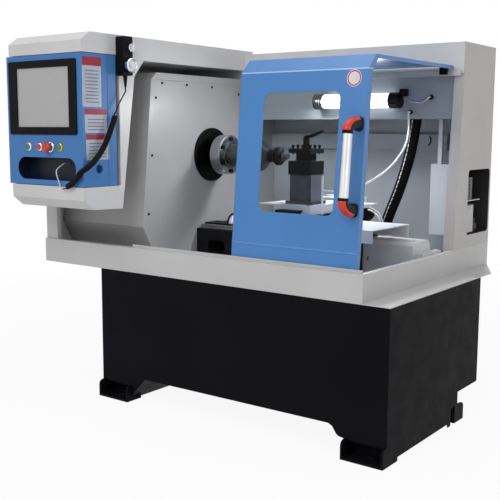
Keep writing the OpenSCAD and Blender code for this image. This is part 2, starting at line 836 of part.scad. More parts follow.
module cross_slide() {
    xm = saddle_x + saddle_l / 2;
    color(pale) set_out() {
        difference() {
            span([xm - cross_w / 2, cross_y0, z_cross + 0.1], [xm + cross_w / 2, cross_y1, z_riser]);
            side_cross(cross_y0 - 1, cross_y1 + 1, 0.08);
            span([xm - 40.1, cross_y0 - 1, z_cross], [xm + 40.1, cross_y1 + 1, z_cross + 1]);
        }
        // Apron that keeps chips off the ways on the headstock's side.
        span([xm - cross_w / 2 - apron, cross_y0, z_riser - 4], [xm - cross_w / 2, cross_y1, z_riser]);
        for (y = [cross_y0 + 14, cross_y0 + 40])
            translate([xm + cross_w / 2 - 18, y, z_riser])
                cylinder(h = 3, r = 5);
    }
}

motor_r = 38;

// Servo motor on the saddle's rear end.
module cross_motor() {
    xm = saddle_x + saddle_l / 2;
    color(black) set_out() {
        span([xm - motor_r - 1, saddle_y1, z_slab - 35], [xm + motor_r + 1, saddle_y1 + 10, z_cross]);
        bar_y(saddle_y1 + 10, saddle_y1 + 170, motor_r, xm, z_slab + 2);
        bar_y(saddle_y1 + 170, saddle_y1 + 190, motor_r - 6, xm, z_slab + 2);
    }
}

post_x = saddle_x + saddle_l / 2;
post_y = 400;
z_post = spin_z - 64;
bolt_r = 4.5;
bolt_pitch = 34;

module tool_riser() {
    color(iron) set_out() {
        span([post_x - riser_w / 2, post_y - 40, z_riser], [post_x + riser_w / 2, post_y + 40, z_post]);
        span([post_x - riser_w / 2 - 12, post_y - 52, z_riser],
            [post_x + riser_w / 2 + 12, post_y + 52, z_riser + 12]);
        // Stud that carries the tool post and the clamping lever.
        translate([post_x, post_y, z_post])
            cylinder(h = post_h + stud_out, r = stud_r);
    }
}

stud_r = 10;
stud_out = 26;

// Four-way tool post: bottom block, core and top plate, with a clamping gap all round.
module toolpost_block() {
    h0 = z_post + seat;
    hw = post_w / 2;
    core = hw - 22;
    color(black) set_out() {
        difference() {
            union() {
                span([post_x - hw, post_y - hw, h0], [post_x + hw, post_y + hw, z_post + 54]);
                span([post_x - core, post_y - core, z_post + 54],
                    [post_x + core, post_y + core, z_post + 54 + post_gap]);
                span([post_x - hw, post_y - hw, z_post + 54 + post_gap],
                    [post_x + hw, post_y + hw, z_post + post_h]);
            }
            // Bore on the clamping stud.
            translate([post_x, post_y, h0 - 1])
                cylinder(h = post_h + 2, r = stud_r + 0.05);
            // Threaded holes for the clamping bolts.
            for (s = [-1, 1], t = [-1, 0, 1])
                translate([post_x + s * (hw - 11), post_y + t * bolt_pitch, z_post + 54 + 1])
                    cylinder(h = post_h, r = bolt_r);
            // Bevelled top edges.
            for (a = [0:90:270])
                translate([post_x, post_y, z_post + post_h])
                    rotate([0, 0, a])
                        translate([-80, hw - 3, 0])
                            rotate([45, 0, 0])
                                cube([160, 10, 10]);
        }
    }
}

module toolpost_bolts() {
    hw = post_w / 2;
    zb = z_post + post_h;
    color(iron) set_out() {
        for (s = [-1, 1], t = [-1, 0, 1])
            translate([post_x + s * (hw - 11), post_y + t * bolt_pitch, zb - 22]) {
                cylinder(h = 28, r = bolt_r);
                translate([0, 0, 28])
                    cylinder(h = 9, r = 7, $fn = 6);
            }
    }
}

// Clamping lever: tall boss over the bolts, and a tapered arm that rises to its rounded end.
module clamp_lever() {
    zb = z_post + post_h + seat;
    color(iron) set_out() {
        translate([post_x, post_y, zb])
            difference() {
                union() {
                    cylinder(h = 6, r = 18);
                    translate([0, 0, 6])
                        cylinder(h = 36, r = lever_r);
                    hull() {
                        translate([0, 0, 42])
                            cylinder(h = 8, r1 = lever_r, r2 = lever_r - 4);
                        rotate([0, 0, lever_turn])
                            translate([24, 0, 50])
                                sphere(r = 7);
                    }
                    hull() {
                        rotate([0, 0, lever_turn])
                            translate([24, 0, 50])
                                sphere(r = 7);
                        rotate([0, 0, lever_turn])
                            translate([lever_l, 0, 68])
                                sphere(r = 5);
                    }
                }
                // Threaded bore on the stud.
                translate([0, 0, -1])
                    cylinder(h = stud_out + 2, r = stud_r + 0.05);
            }
    }
}

lever_turn = 12;
lever_l = 66;
lever_r = 13;

// ---- Door -------------------------------------------------------------------------------------------

door_t = 2;
door_z0 = z_rim;
door_z1 = z_head - 19;
door_zt = z_head + 31;
door_y0 = 22;
door_yb = y_head - 12;
door_x1 = door_x + door_w;

// Fold line of the door, set in by t.
function door_fold(t) = [[door_y0 + t, door_z0 + 2], [door_y0 + 62 + t, door_z1],
    [door_y0 + 111 + t * 0.7, door_zt - t],
    [door_yb, door_zt - t]];
// Inner edge of the flanges: deep down the front, shallow under the top so that it clears the headstock.
door_flange = [[door_y0 + 28, door_z0 + 2], [door_y0 + 88, door_z1 - 6], [door_y0 + 122, door_zt - 14],
    [door_yb, door_zt - 14]];

module door_panel() {
    win_x = door_x + door_w / 2 + 3;
    win_z = z_rim + 396;
    color(blue) set_out() {
        difference() {
            side_run(door_x, door_x1, concat(door_fold(0), [for (i = [3:-1:0]) door_fold(door_t)[i]]));
            translate([win_x, door_y0 + 200, win_z])
                rotate([90, 0, 0])
                    linear_extrude(300)
                        round_rect(win_w, win_h, win_r);
        }
        // Side flanges folded back.
        for (x = [door_x, door_x1 - door_t])
            side_run(x, x + door_t, concat(door_fold(door_t), [for (i = [3:-1:0]) door_flange[i]]));
        // Raised fold across the lower panel.
        side_run(door_x, door_x1, [[face_y(z_rim + 60) - 1.5, z_rim + 60], [face_y(z_rim + 60), z_rim + 60],
            [face_y(z_rim + 66), z_rim + 66], [face_y(z_rim + 66) - 1.5, z_rim + 66]]);
    }
}

// Slope of the door's face in Y for each unit of Z.
lean = 62 / (door_z1 - door_z0 - 2);
function face_y(z) = door_y0 + (z - door_z0 - 2) * lean;

module door_window() {
    win_x = door_x + door_w / 2 + 3;
    win_z = z_rim + 396;
    a = atan(lean);
    color(glass) set_out() {
        translate([win_x, face_y(win_z) + (door_t + seat) / cos(a), win_z])
            rotate([90 - a, 0, 0])
                translate([0, 0, -3])
                    linear_extrude(3)
                        round_rect(win_w + 30, win_h + 34, win_r);
    }
}

grip_x = door_x1 - grip_r - 7;
grip_z = z_rim + 254;

module door_grip() {
    a = atan(lean);
    color(steel) set_out() {
        translate([grip_x, face_y(grip_z) - grip_y, grip_z])
            rotate([-a, 0, 0])
                cylinder(h = grip_l, r = grip_r);
    }
}

// End brackets of the grip: each one a collar on the tube that sweeps back to a foot on the door.
module door_grip_brackets() {
    a = atan(lean);
    yf = grip_y * cos(a) - 0.4;
    c = grip_r + 2;
    color(black) set_out() {
        for (e = [0, 1])
            translate([grip_x, face_y(grip_z) - grip_y, grip_z])
                rotate([-a, 0, 0])
                    translate([0, 0, e * grip_l])
                        mirror([0, 0, 1 - e])
                            translate([-c, 0, 0])
                                rotate([90, 0, 90])
                                    linear_extrude(2 * c)
                                        polygon(concat([[-c, 0]],
                                            [for (t = [0:15:90]) [yf - 22 - (yf - 22 + c) * cos(t),
                                                18 + 46 * sin(t)]],
                                            [[yf, 64], [yf, 14], [yf - 14, 18], [c + 6, 14], [c, 6], [c,
                                                0]]));
    }
}

z_rail_top = door_zt - 14;

module door_rail() {
    color(steel) set_out() {
        // Top rail on the front of the header box, and a guide strip in the tray's gutter.
        span([x_face + 20, y_head - 10, z_rail_top - 22], [x_right - 10, y_head - 7, z_rail_top - 4]);
        span([x_face + 20, y_head - 10, z_rail_top - 25], [x_right - 10, y_head, z_rail_top - 22]);
        span([x_face + 20, 16, z_rim], [x_right - 10, 18, z_rim + 12]);
    }
}

// Plastic gliders: hooks over the top rail, and shoes astride the guide strip.
module door_gliders() {
    color(black) set_out() {
        for (x = [door_x + 40, door_x1 - 40]) {
            span([x - 15, door_yb - 12, z_rail_top - 20], [x + 15, y_head - 10 - seat, door_zt - door_t]);
            span([x - 15, y_head - 10 - seat, z_rail_top - 3], [x + 15, y_head - 7 + seat, z_rail_top + 4]);
            span([x - 15, y_head - 7 + seat, z_rail_top - 14], [x + 15, y_head - 4, z_rail_top + 4]);
            span([x - 15, 18 + seat, z_rim + 1], [x + 15, door_y0 + door_t + 2, z_rim + 2]);
            span([x - 15, 18 + seat, z_rim + 2], [x + 15, door_y0 - seat, z_rim + 12]);
        }
    }
}

// ---- Control arm and box ----------------------------------------------------------------------------

arm_x1 = x_left + 514;
arm_x0 = arm_x1 - arm_w;
z_arm = z_top + 17;
box_z1 = z_arm - 79;
box_z0 = box_z1 - box_h;
box_x1 = arm_x1;
box_x0 = box_x1 - box_w;
box_y0 = -arm_out;
box_y1 = box_y0 + box_d;

// The arm: a beam at the top, a hanging web and a lower shelf, which hold the control box between them.
module control_bracket() {
    color(grey) set_out() {
        difference() {
            side_run(arm_x0, arm_x1, [[-arm_out + 46, z_arm], [y_head - seat, z_arm], [y_head - seat,
                z_arm - 90],
                [99, z_arm - 90], [45, z_arm - 155], [-31, box_z0 - arm_shelf - 2], [-arm_out + 48,
                    box_z0 - arm_shelf + 2],
                [-arm_out, box_z0 - 53], [-arm_out, box_z0 - 2], [-40, box_z0 - 2], [-40, box_z1 + 2],
                [-arm_out, box_z1 + 2], [-arm_out, z_arm - 32]]);
            // Hollow inside, welded up from sheet.
            side_run(arm_x0 + sheet, arm_x1 - sheet, [[-arm_out + 47, z_arm - sheet], [y_head - 4,
                z_arm - sheet],
                [y_head - 4, z_arm - 90 + sheet], [98, z_arm - 90 + sheet], [42, z_arm - 154],
                [-34, box_z0 - arm_shelf + 1], [-arm_out + 49, box_z0 - arm_shelf + 5],
                    [-arm_out + sheet, box_z0 - 51],
                [-arm_out + sheet, box_z0 - 5], [-37, box_z0 - 5], [-37, box_z1 + 5],
                [-arm_out + sheet, box_z1 + 5], [-arm_out + sheet, z_arm - 33]]);
            // Holes for the two pivot pins.
            translate([pivot_x, pivot_y, box_z0 - 30])
                cylinder(h = box_h + 60, r = pin_r);
        }
        // Rear end of the beam, over the header box.
        span([arm_x0, y_head - seat, z_top], [arm_x1, y_head + 60, z_arm]);
    }
}

pivot_x = box_x1 - 30;
pivot_y = box_y0 + 77;
pin_r = 8;

module control_box() {
    color(blue) set_out() {
        difference() {
            span([box_x0, box_y0, box_z0], [box_x1, box_y1, box_z1]);
            // Keyboard recess.
            front_run(box_y0 - 1, box_y0 + recess_d)
                translate([(box_x0 + box_x1) / 2 + 6, box_z0 + 65])
                    round_rect(recess_w, recess_h, recess_h / 2 - 0.1);
            // Lock hole in the right end.
            bar_x(box_x1 - 30, box_x1 + 1, 18, box_y0 + 82, box_z0 + 67);
            // Screen opening and button holes.
            front_run(box_y0 - 1, box_y0 + 25)
                translate([screen_x, screen_z])
                    square([screen_w + 12, screen_h + 12], center = true);
            for (b = [start_x, stop_x, estop_x, feed_x])
                bar_y(box_y0 - 1, box_y0 + 40, 8.1, b, button_z);
            translate([pivot_x, pivot_y, box_z0 - 1])
                cylinder(h = box_h + 2, r = pin_r + 0.05);
            // Hollow behind the screen and the recess.
            span([box_x0 + sheet, box_y0 + recess_d + 4, box_z0 + sheet],
                [box_x1 - 52, box_y1 - sheet, box_z1 - sheet]);
            // Seam of the rear cover.
            difference() {
                span([box_x0 - 1, box_y1 - 46, box_z0 - 1], [box_x1 + 1, box_y1 - 44, box_z1 + 1]);
                span([box_x0 + 1, box_y1 - 47, box_z0 + 1], [box_x1 - 1, box_y1 - 43, box_z1 - 1]);
            }
        }
    }
}

screen_x = box_x0 + 217;
screen_z = box_z0 + 342;
button_z = box_z0 + 150;
start_x = box_x0 + 125;
stop_x = box_x0 + 190;
estop_x = box_x0 + 255;
feed_x = box_x0 + 309;

module screen_bezel() {
    color(black) set_out() {
        difference() {
            front_run(box_y0 - 5, box_y0 - 0)
                translate([screen_x - 3, screen_z - 1])
                    round_rect(396, 286, 8);
            front_run(box_y0 - 6, box_y0 + 1)
                translate([screen_x, screen_z])
                    square([screen_w, screen_h], center = true);
        }
    }
}

module screen() {
    color([0.55, 0.56, 0.58]) set_out() {
        front_run(box_y0, box_y0 + 20)
            translate([screen_x, screen_z])
                square([screen_w + 11, screen_h + 11], center = true);
    }
}

cap_r = 12;

// Push button: a cap on its stem.
module push(x) {
    bar_y(box_y0 - 10, box_y0 - 4 - seat, cap_r, x, button_z);
    bar_y(box_y0 - 10, box_y0 + 30, 8, x, button_z);
}

module start_button() {
    color(green) set_out()
        push(start_x);
}

module stop_button() {
    color(red) set_out()
        push(stop_x);
}

module feed_button() {
    color(green) set_out()
        push(feed_x);
}

module emergency_stop() {
    color(red) set_out() {
        translate([estop_x, box_y0, button_z])
            rotate([90, 0, 0])
                rotate_extrude($fn = 64)
                    polygon([[0, -30], [8, -30], [8, 12], [12, 16], [20, 18], [21, 24], [18, 31], [10,
                        estop_out],
                        [0, estop_out]]);
    }
}

// Bright collars round the push buttons and under the emergency stop.
module button_collars() {
    color(steel) set_out() {
        for (b = [start_x, stop_x, feed_x])
            translate([b, box_y0, button_z])
                rotate([90, 0, 0])
                    rotate_extrude($fn = 64)
                        polygon([[cap_r + seat, 0], [cap_r + 5, 0], [cap_r + 5, 3], [cap_r + 2, 7],
                            [cap_r + seat, 7]]);
        translate([estop_x, box_y0, button_z])
            rotate([90, 0, 0])
                rotate_extrude($fn = 64)
                    polygon([[8 + seat, 0], [20, 0], [20, 3], [17, 5], [8 + seat, 5]]);
    }
}

module pivot_pins() {
    color(steel) set_out() {
        for (z = [box_z0 - 30, box_z1 - 20])
            translate([pivot_x, pivot_y, z])
                cylinder(h = 50, r = pin_r);
    }
}

pen_y0 = -57;
pen_y1 = -4;
pen_z0 = z_arm - 156;
pen_z1 = z_arm - 6;
pen_tail = 44;
wheel_y = pen_y1 - 22;
wheel_z = pen_z0 + 38;
knob_r = 16;
knob_y = pen_y1 - 20;
knob_z = pen_z1 - 44;

module mpg_pendant() {
    ym = (pen_y0 + pen_y1) / 2;
    color(black) set_out() {
        translate([arm_x1, ym, (pen_z0 + pen_z1) / 2])
            rotate([90, 0, 90])
                linear_extrude(pen_t)
                    round_rect(pen_y1 - pen_y0, pen_z1 - pen_z0, 8);
        bar_x(arm_x1 + pen_t, arm_x1 + pen_t + 4, wheel_r + 1, wheel_y, wheel_z);
        // Strain relief at the lower end.
        translate([arm_x1 + pen_t / 2, ym + 4, pen_z0 - pen_tail])
            cylinder(h = pen_tail, r1 = 4, r2 = 9);
    }
}

module mpg_handwheel() {
    color(steel) set_out() {
        translate([arm_x1 + pen_t + 4 + seat, wheel_y, wheel_z])
            rotate([0, 90, 0]) {
                rotate_extrude($fn = 64)
                    polygon([[0, 0], [wheel_r - 2, 0], [wheel_r, 2], [wheel_r, 14], [wheel_r - 4, 18],
                        [wheel_r - 8, 15], [6, 15], [0, 15]]);
                translate([wheel_r - 12, 0, 15])
                    cylinder(h = 14, r = 5);
            }
    }
}

module mpg_knob() {
    color(steel) set_out() {
        bar_x(arm_x1 + pen_t + seat, arm_x1 + pen_t + 16, knob_r, knob_y, knob_z);
        span([arm_x1 + pen_t + 16, knob_y - 4, knob_z - knob_r + 1],
            [arm_x1 + pen_t + 24, knob_y + 4, knob_z + knob_r - 1]);
    }
}

// ---- Lamp and cords ---------------------------------------------------------------------------------

gland_x = 510;
gland_z = z_head - 148;
flex_x = 600;
flex_z = z_head - 89;
lamp_x0 = 69;
lamp_x1 = 434;
lamp_y = y_lamp - 34;
lamp_z = z_head - 100;

module lamp_tube() {
    color(white) set_out() {
        bar_x(lamp_x0 + 46, lamp_x1, 30, lamp_y, lamp_z);
    }
}

module lamp_caps() {
    color(black) set_out() {
        // Ringed left cap and plain right cap, each on its bracket.
        bar_x(lamp_x0, lamp_x0 + 46, 29, lamp_y, lamp_z);
        for (k = [0:3])
            bar_x(lamp_x0 + 12 * k, lamp_x0 + 12 * k + 7, 33, lamp_y, lamp_z);
        bar_x(lamp_x1, 477, 33, lamp_y, lamp_z);
        span([lamp_x0 + 12, lamp_y, lamp_z - 12], [lamp_x0 + 31, y_lamp, lamp_z + 12]);
        span([440, lamp_y, lamp_z - 4], [470, y_lamp, lamp_z + 30]);
        bar_x(477, 490, 8, lamp_y, lamp_z + 8);
        // Glands of the lamp's conduit and of the air line.
        bar_y(y_lamp - 8, y_lamp, 10, flex_x, flex_z);
        bar_y(y_lamp - 12, y_lamp, 9, gland_x, gland_z);
    }
}

flex_route = [[490, lamp_y, lamp_z + 8], [498, lamp_y, lamp_z + 8], [506, lamp_y, lamp_z + 8],
    [530, lamp_y, lamp_z - 4], [560, lamp_y + 2, lamp_z - 10], [588, lamp_y + 4, lamp_z - 2],
    [flex_x, y_lamp - 24, flex_z], [flex_x, y_lamp - 16, flex_z], [flex_x, y_lamp - 8, flex_z]];

module lamp_flex() {
    color(steel) set_out()
        tube(flex_route, 5, 10, 3);
}

hose_r = 25;
hose_x = 509;
hose_route = [[hose_x + 3, 850, z_head], [hose_x + 3, 850, 1320], [hose_x + 3, 850, 1250],
    [hose_x, 850, 1171], [490, 848, 1042], [465, 846, 944], [438, 844, 860], [410, 843, 790], [393, 842, 744],
    [hose_end[0], hose_end[1], 722], [hose_end[0], hose_end[1], 712], [hose_end[0], hose_end[1], shelf_z]];

module energy_hose() {
    color(black) set_out()
        tube(hose_route, hose_r, 12, 4);
}

air_route = [[gland_x, y_lamp - 12, gland_z], [gland_x, y_lamp - 17, gland_z],
    [gland_x, y_lamp - 22, gland_z], [gland_x + 3, 768, gland_z - 10], [519, 760, 1162], [526, 750, 1130],
    [533, 728, 1094], [538, 690, 1053], [534, 610, 994], [518, 525, 947], [490, 450, 914], [452, 398, 895],
    [fit_x + 36, pipe_y, fit_z], [fit_x + 18, pipe_y, fit_z], [fit_x, pipe_y, fit_z]];

module air_cable() {
    color(white) set_out()
        tube(air_route, 4, 8, 5);
}

// Handset lead: thin lead, curly part drawn as one fat tube, and a thin tail into the keyboard recess.
lead_x = arm_x1 + 20;
lead_y = (pen_y0 + pen_y1) / 2 + 4;
tail_x = box_x0 + 294;
tail_z = box_z0 + 84;
coil_y = box_y0 - 16;
lead_route = [[lead_x, lead_y, pen_z0 - pen_tail], [lead_x, lead_y, pen_z0 - 52],
    [lead_x, lead_y, pen_z0 - 60], [lead_x, -48, 1241], [lead_x, -72, 1207], [lead_x, -82, 1184],
    [lead_x, -93, 1155], [lead_x, -120, 1100], [lead_x, -150, 1052], [lead_x, -191, 1008], [lead_x, -232, 978],
    [lead_x - 14, coil_y, 962], [lead_x - 40, coil_y, 938], [-395, coil_y, 910], [-425, coil_y, 896],
    [-434, coil_y, 893], [-449, coil_y, 897], [-462, coil_y + 2, 920], [tail_x - 4, box_y0 - 4, 960],
    [tail_x, box_y0 + 28, tail_z], [tail_x, box_y0 + 44, tail_z], [tail_x, box_y0 + recess_d, tail_z]];
lead_radii = [3, 3, 3, 3, 3, 12, 12, 12, 12, 12, 12, 12, 12, 12, 12, 3, 3, 3, 3, 3, 3, 3];

module mpg_cord() {
    color(black) set_out()
        tube_of(lead_route, lead_radii, 10, 3);
}

base_cabinet();
mounting_feet();
chip_tray();
left_end_panel();
rear_panel();
right_side_panel();
header_box();
lamp_panel();
inner_back_panel();
electrics_housing();
electrics_units();
headstock_cover();
spindle_face_panel();
cover_screws();
headstock_casting();
spindle_cover_ring();
spindle_shaft();
mandrel();
centring_cone();
flange_screws();
hand_nut();
bed();
guide_rails();
way_bellows();
z_ball_screw();
bed_end_cover();
saddle();
saddle_pipes();
saddle_cover();
cross_slide();
cross_motor();
tool_riser();
toolpost_block();
toolpost_bolts();
clamp_lever();
door_panel();
door_window();
door_grip();
door_grip_brackets();
door_gliders();
door_rail();
control_bracket();
control_box();
screen_bezel();
screen();
start_button();
stop_button();
emergency_stop();
feed_button();
button_collars();
pivot_pins();
mpg_pendant();
mpg_handwheel();
mpg_knob();
mpg_cord();
lamp_tube();
lamp_caps();
lamp_flex();
energy_hose();
air_cable();
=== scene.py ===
"""Looks of the wheel rim lathe: camera, cords, materials and the pieces that stand for soft or detailed parts."""
import math

import bmesh
import bpy
from mathutils import Matrix, Vector


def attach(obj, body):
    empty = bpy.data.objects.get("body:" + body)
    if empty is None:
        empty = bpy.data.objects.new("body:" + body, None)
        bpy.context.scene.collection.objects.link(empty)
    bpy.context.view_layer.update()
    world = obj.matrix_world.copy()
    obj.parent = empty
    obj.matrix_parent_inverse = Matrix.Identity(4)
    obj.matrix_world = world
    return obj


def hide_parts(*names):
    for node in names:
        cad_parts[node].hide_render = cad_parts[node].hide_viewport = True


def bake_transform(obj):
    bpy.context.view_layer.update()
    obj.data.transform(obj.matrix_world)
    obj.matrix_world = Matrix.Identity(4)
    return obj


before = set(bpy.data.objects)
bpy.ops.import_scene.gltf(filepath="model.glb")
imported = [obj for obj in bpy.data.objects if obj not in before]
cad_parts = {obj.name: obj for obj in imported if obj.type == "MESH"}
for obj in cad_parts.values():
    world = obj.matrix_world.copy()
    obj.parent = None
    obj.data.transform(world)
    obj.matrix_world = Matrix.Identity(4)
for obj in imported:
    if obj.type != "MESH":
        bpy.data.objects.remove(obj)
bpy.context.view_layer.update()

scene = bpy.context.scene
MM = 0.001
Y_SHIFT = -0.415           # the tray's front face stands this far from the origin
ROOT = "machine"


def at(x, y, z):
    """A point set out from the tray's front face, in millimetres, as a point of the row frame in metres."""
    return Vector((x * MM, y * MM + Y_SHIFT, z * MM))


# ---- Camera --------------------------------------------------------------------------------------------------

CAM_YAW = 0.6400
CAM_PITCH = 0.1389
CAM_ROLL = 0.0047
CAM_LENS = 61.45
CAM_PLACE = (2112.8, -2464.9, 1119.1)


def make_camera():
    """Camera at the photograph's angle, with square pixels and no shift."""
    cam = bpy.data.cameras.new("camera")
    cam.lens = CAM_LENS
    cam.sensor_width = 36.0
    cam.clip_end = 60.0
    obj = bpy.data.objects.new("camera", cam)
    scene.collection.objects.link(obj)
    forward = Vector((-math.sin(CAM_YAW) * math.cos(CAM_PITCH), math.cos(CAM_YAW) * math.cos(CAM_PITCH),
                      -math.sin(CAM_PITCH)))
    right = Vector((math.cos(CAM_YAW), math.sin(CAM_YAW), 0))
    up = right.cross(forward)
    rolled_right = math.cos(CAM_ROLL) * right + math.sin(CAM_ROLL) * up
    rolled_up = -math.sin(CAM_ROLL) * right + math.cos(CAM_ROLL) * up
    turn = Matrix((rolled_right, rolled_up, -forward)).transposed()
    obj.matrix_world = Matrix.Translation(at(*CAM_PLACE)) @ turn.to_4x4()
    scene.camera = obj


make_camera()


# ---- Materials -----------------------------------------------------------------------------------------------

class Shader:
    """A node material built up from a Principled shader, with helpers for the textures that drive it."""

    def __init__(self, name):
        self.mat = bpy.data.materials.new(name)
        self.mat.use_nodes = True
        self.tree = self.mat.node_tree
        self.tree.nodes.clear()
        self.out = self.add("ShaderNodeOutputMaterial")
        self.bsdf = self.add("ShaderNodeBsdfPrincipled")
        self.link(self.bsdf.outputs[0], self.out.inputs[0])
        self.place = self.add("ShaderNodeTexCoord").outputs["Object"]

    def add(self, kind, **values):
        """New node with its properties set."""
        node = self.tree.nodes.new(kind)
        for key, value in values.items():
            setattr(node, key, value)
        return node

    def link(self, a, b):
        """Joins an output to an input."""
        self.tree.links.new(a, b)

    def set(self, **values):
        """Sets sockets of the Principled shader. An underscore stands for a space in a socket's name."""
        for key, value in values.items():
            self.bsdf.inputs[key.replace("_", " ")].default_value = value

    def noise(self, scale, detail=4.0, stretch=(1, 1, 1)):
        """Noise of about scale features a metre, stretched along the axes."""
        mapping = self.add("ShaderNodeMapping")
        mapping.inputs["Scale"].default_value = stretch
        self.link(self.place, mapping.inputs["Vector"])
        noise = self.add("ShaderNodeTexNoise")
        noise.inputs["Scale"].default_value = scale
        noise.inputs["Detail"].default_value = detail
        self.link(mapping.outputs[0], noise.inputs["Vector"])
        return noise.outputs["Fac"]

    def ramp(self, value, low, high):
        """value spread from low to high, between 0.3 and 0.7 of its own range."""
        node = self.add("ShaderNodeMapRange")
        node.inputs["From Min"].default_value = 0.3
        node.inputs["From Max"].default_value = 0.7
        node.inputs["To Min"].default_value = low
        node.inputs["To Max"].default_value = high
        self.link(value, node.inputs["Value"])
        return node.outputs["Result"]

    def mix(self, value, a, b):
        """Colour a where value is 0, b where it is 1."""
        node = self.add("ShaderNodeMix", data_type="RGBA")
        node.inputs[6].default_value = (*a, 1)
        node.inputs[7].default_value = (*b, 1)
        self.link(value, node.inputs[0])
        return node.outputs[2]

    def bump(self, height, distance, strength, edge):
        """Relief of the given depth in metres, with the edges' shading rounded by the radius edge."""
        node = self.add("ShaderNodeBump")
        node.inputs["Strength"].default_value = strength
        node.inputs["Distance"].default_value = distance
        self.link(height, node.inputs["Height"])
        bevel = self.add("ShaderNodeBevel", samples=3)
        bevel.inputs["Radius"].default_value = edge
        self.link(bevel.outputs[0], node.inputs["Normal"])
        self.link(node.outputs[0], self.bsdf.inputs["Normal"])

    def math(self, kind, a, b=0.0):
        """Result of a Math node on numbers or sockets."""
        node = self.add("ShaderNodeMath", operation=kind)
        for socket, value in zip(node.inputs, (a, b)):
            if isinstance(value, (int, float)):
                socket.default_value = value
            else:
                self.link(value, socket)
        return node.outputs[0]

    def within(self, low, high):
        """1 inside the box between two corners, 0 outside it. None leaves a side open."""
        split = self.add("ShaderNodeSeparateXYZ")
        self.link(self.place, split.inputs[0])
        share = None
        for name, a, b, shift in zip("XYZ", low, high, (0, Y_SHIFT, 0)):
            for kind, edge in (("GREATER_THAN", a), ("LESS_THAN", b)):
                if edge is None:
                    continue
                test = self.math(kind, split.outputs[name], edge * MM + shift)
                share = test if share is None else self.math("MULTIPLY", share, test)
        return share

    def stripes(self, low, high, pitch, width):
        """1 on level bars of the given width inside a box, 0 elsewhere."""
        split = self.add("ShaderNodeSeparateXYZ")
        self.link(self.place, split.inputs[0])
        share = self.math("FRACT", self.math("DIVIDE", split.outputs["Z"], pitch * MM))
        return self.math("MULTIPLY", self.within(low, high), self.math("LESS_THAN", share, width / pitch))

    def distance(self, centre):
        """Distance in metres from a point given in millimetres."""
        node = self.add("ShaderNodeVectorMath", operation="DISTANCE")
        node.inputs[1].default_value = at(*centre)
        self.link(self.place, node.inputs[0])
        return node.outputs["Value"]

    def near(self, centre, radius):
        """1 within the radius of a point in millimetres, on surfaces that face the front."""
        turn = self.add("ShaderNodeSeparateXYZ")
        self.link(self.add("ShaderNodeTexCoord").outputs["Normal"], turn.inputs[0])
        front = self.math("LESS_THAN", turn.outputs["Y"], -0.5)
        return self.math("MULTIPLY", front, self.math("LESS_THAN", self.distance(centre), radius * MM))

    def over(self, share, color):
        """Another colour, with a slight drift of its own, where share is 1."""
        other = self.mix(self.ramp(self.noise(26.0), 0, 1), shade(color, 0.9), shade(color, 1.1))
        base = self.bsdf.inputs["Base Color"]
        node = self.add("ShaderNodeMix", data_type="RGBA")
        self.link(share, node.inputs[0])
        self.link(base.links[0].from_socket, node.inputs[6])
        self.link(other, node.inputs[7])
        self.link(node.outputs[2], base)


SHEET_EDGE = 0.0015        # radius in metres to which folds and casting edges are shaded
FINE_EDGE = 0.0008         # the same for turned and moulded pieces
TOOL_MARK = 0.00003        # depth of the marks on turned metal, in metres


def shade(color, factor):
    """The colour made darker or lighter, up to white."""
    return tuple(min(1.0, c * factor) for c in color)


def painted(name, color, rough=0.42, grain=0.00012, coat=0.15, spread=0.05, spec=0.5):
    """Sprayed sheet metal: fine orange peel, faint cloudiness, and paint that wraps round the folds."""
    s = Shader(name)
    s.link(s.mix(s.ramp(s.noise(3.0), 0, 1), shade(color, 1 - spread), shade(color, 1 + spread)),
           s.bsdf.inputs["Base Color"])
    s.link(s.ramp(s.noise(14.0), rough - 0.05, rough + 0.06), s.bsdf.inputs["Roughness"])
    s.bump(s.noise(420.0, 2.0), grain, 0.5, SHEET_EDGE)
    s.set(Coat_Weight=coat, Coat_Roughness=0.25, Specular_IOR_Level=spec)
    return s


def cast(name, color, rough=0.55, metallic=0.3, spec=0.5):
    """Painted or oiled casting, with a coarse sandy skin."""
    s = Shader(name)
    s.link(s.mix(s.ramp(s.noise(30.0), 0, 1), shade(color, 0.75), shade(color, 1.3)), s.bsdf.inputs["Base Color"])
    s.link(s.ramp(s.noise(60.0), rough - 0.12, rough + 0.12), s.bsdf.inputs["Roughness"])
    s.bump(s.noise(260.0, 6.0), 0.0004, 0.6, SHEET_EDGE)
    s.set(Metallic=metallic, Specular_IOR_Level=spec)
    return s


def turned(name, color, rough=0.24, stretch=(60, 1, 1)):
    """Machined metal: tool marks along one direction, with a little colour drift."""
    s = Shader(name)
    s.link(s.mix(s.ramp(s.noise(8.0), 0, 1), shade(color, 0.86), shade(color, 1.08)), s.bsdf.inputs["Base Color"])
    marks = s.noise(40.0, 5.0, stretch)
    s.link(s.ramp(marks, rough - 0.07, rough + 0.09), s.bsdf.inputs["Roughness"])
    s.bump(marks, TOOL_MARK, 0.5, FINE_EDGE)
    s.set(Metallic=1.0)
    return s


def moulded(name, color, rough=0.5, grain=0.0002, scale=600.0, coat=0.0, spec=0.5, spread=0.12):
    """Moulded plastic or rubber with a fine even texture."""
    s = Shader(name)
    s.link(s.mix(s.ramp(s.noise(20.0), 0, 1), shade(color, 1 - spread), shade(color, 1 + spread)),
           s.bsdf.inputs["Base Color"])
    s.link(s.ramp(s.noise(45.0), rough - 0.06, rough + 0.08), s.bsdf.inputs["Roughness"])
    s.bump(s.noise(scale, 2.0), grain, 0.5, FINE_EDGE)
    s.set(Coat_Weight=coat, Coat_Roughness=0.1, Specular_IOR_Level=spec)
    return s


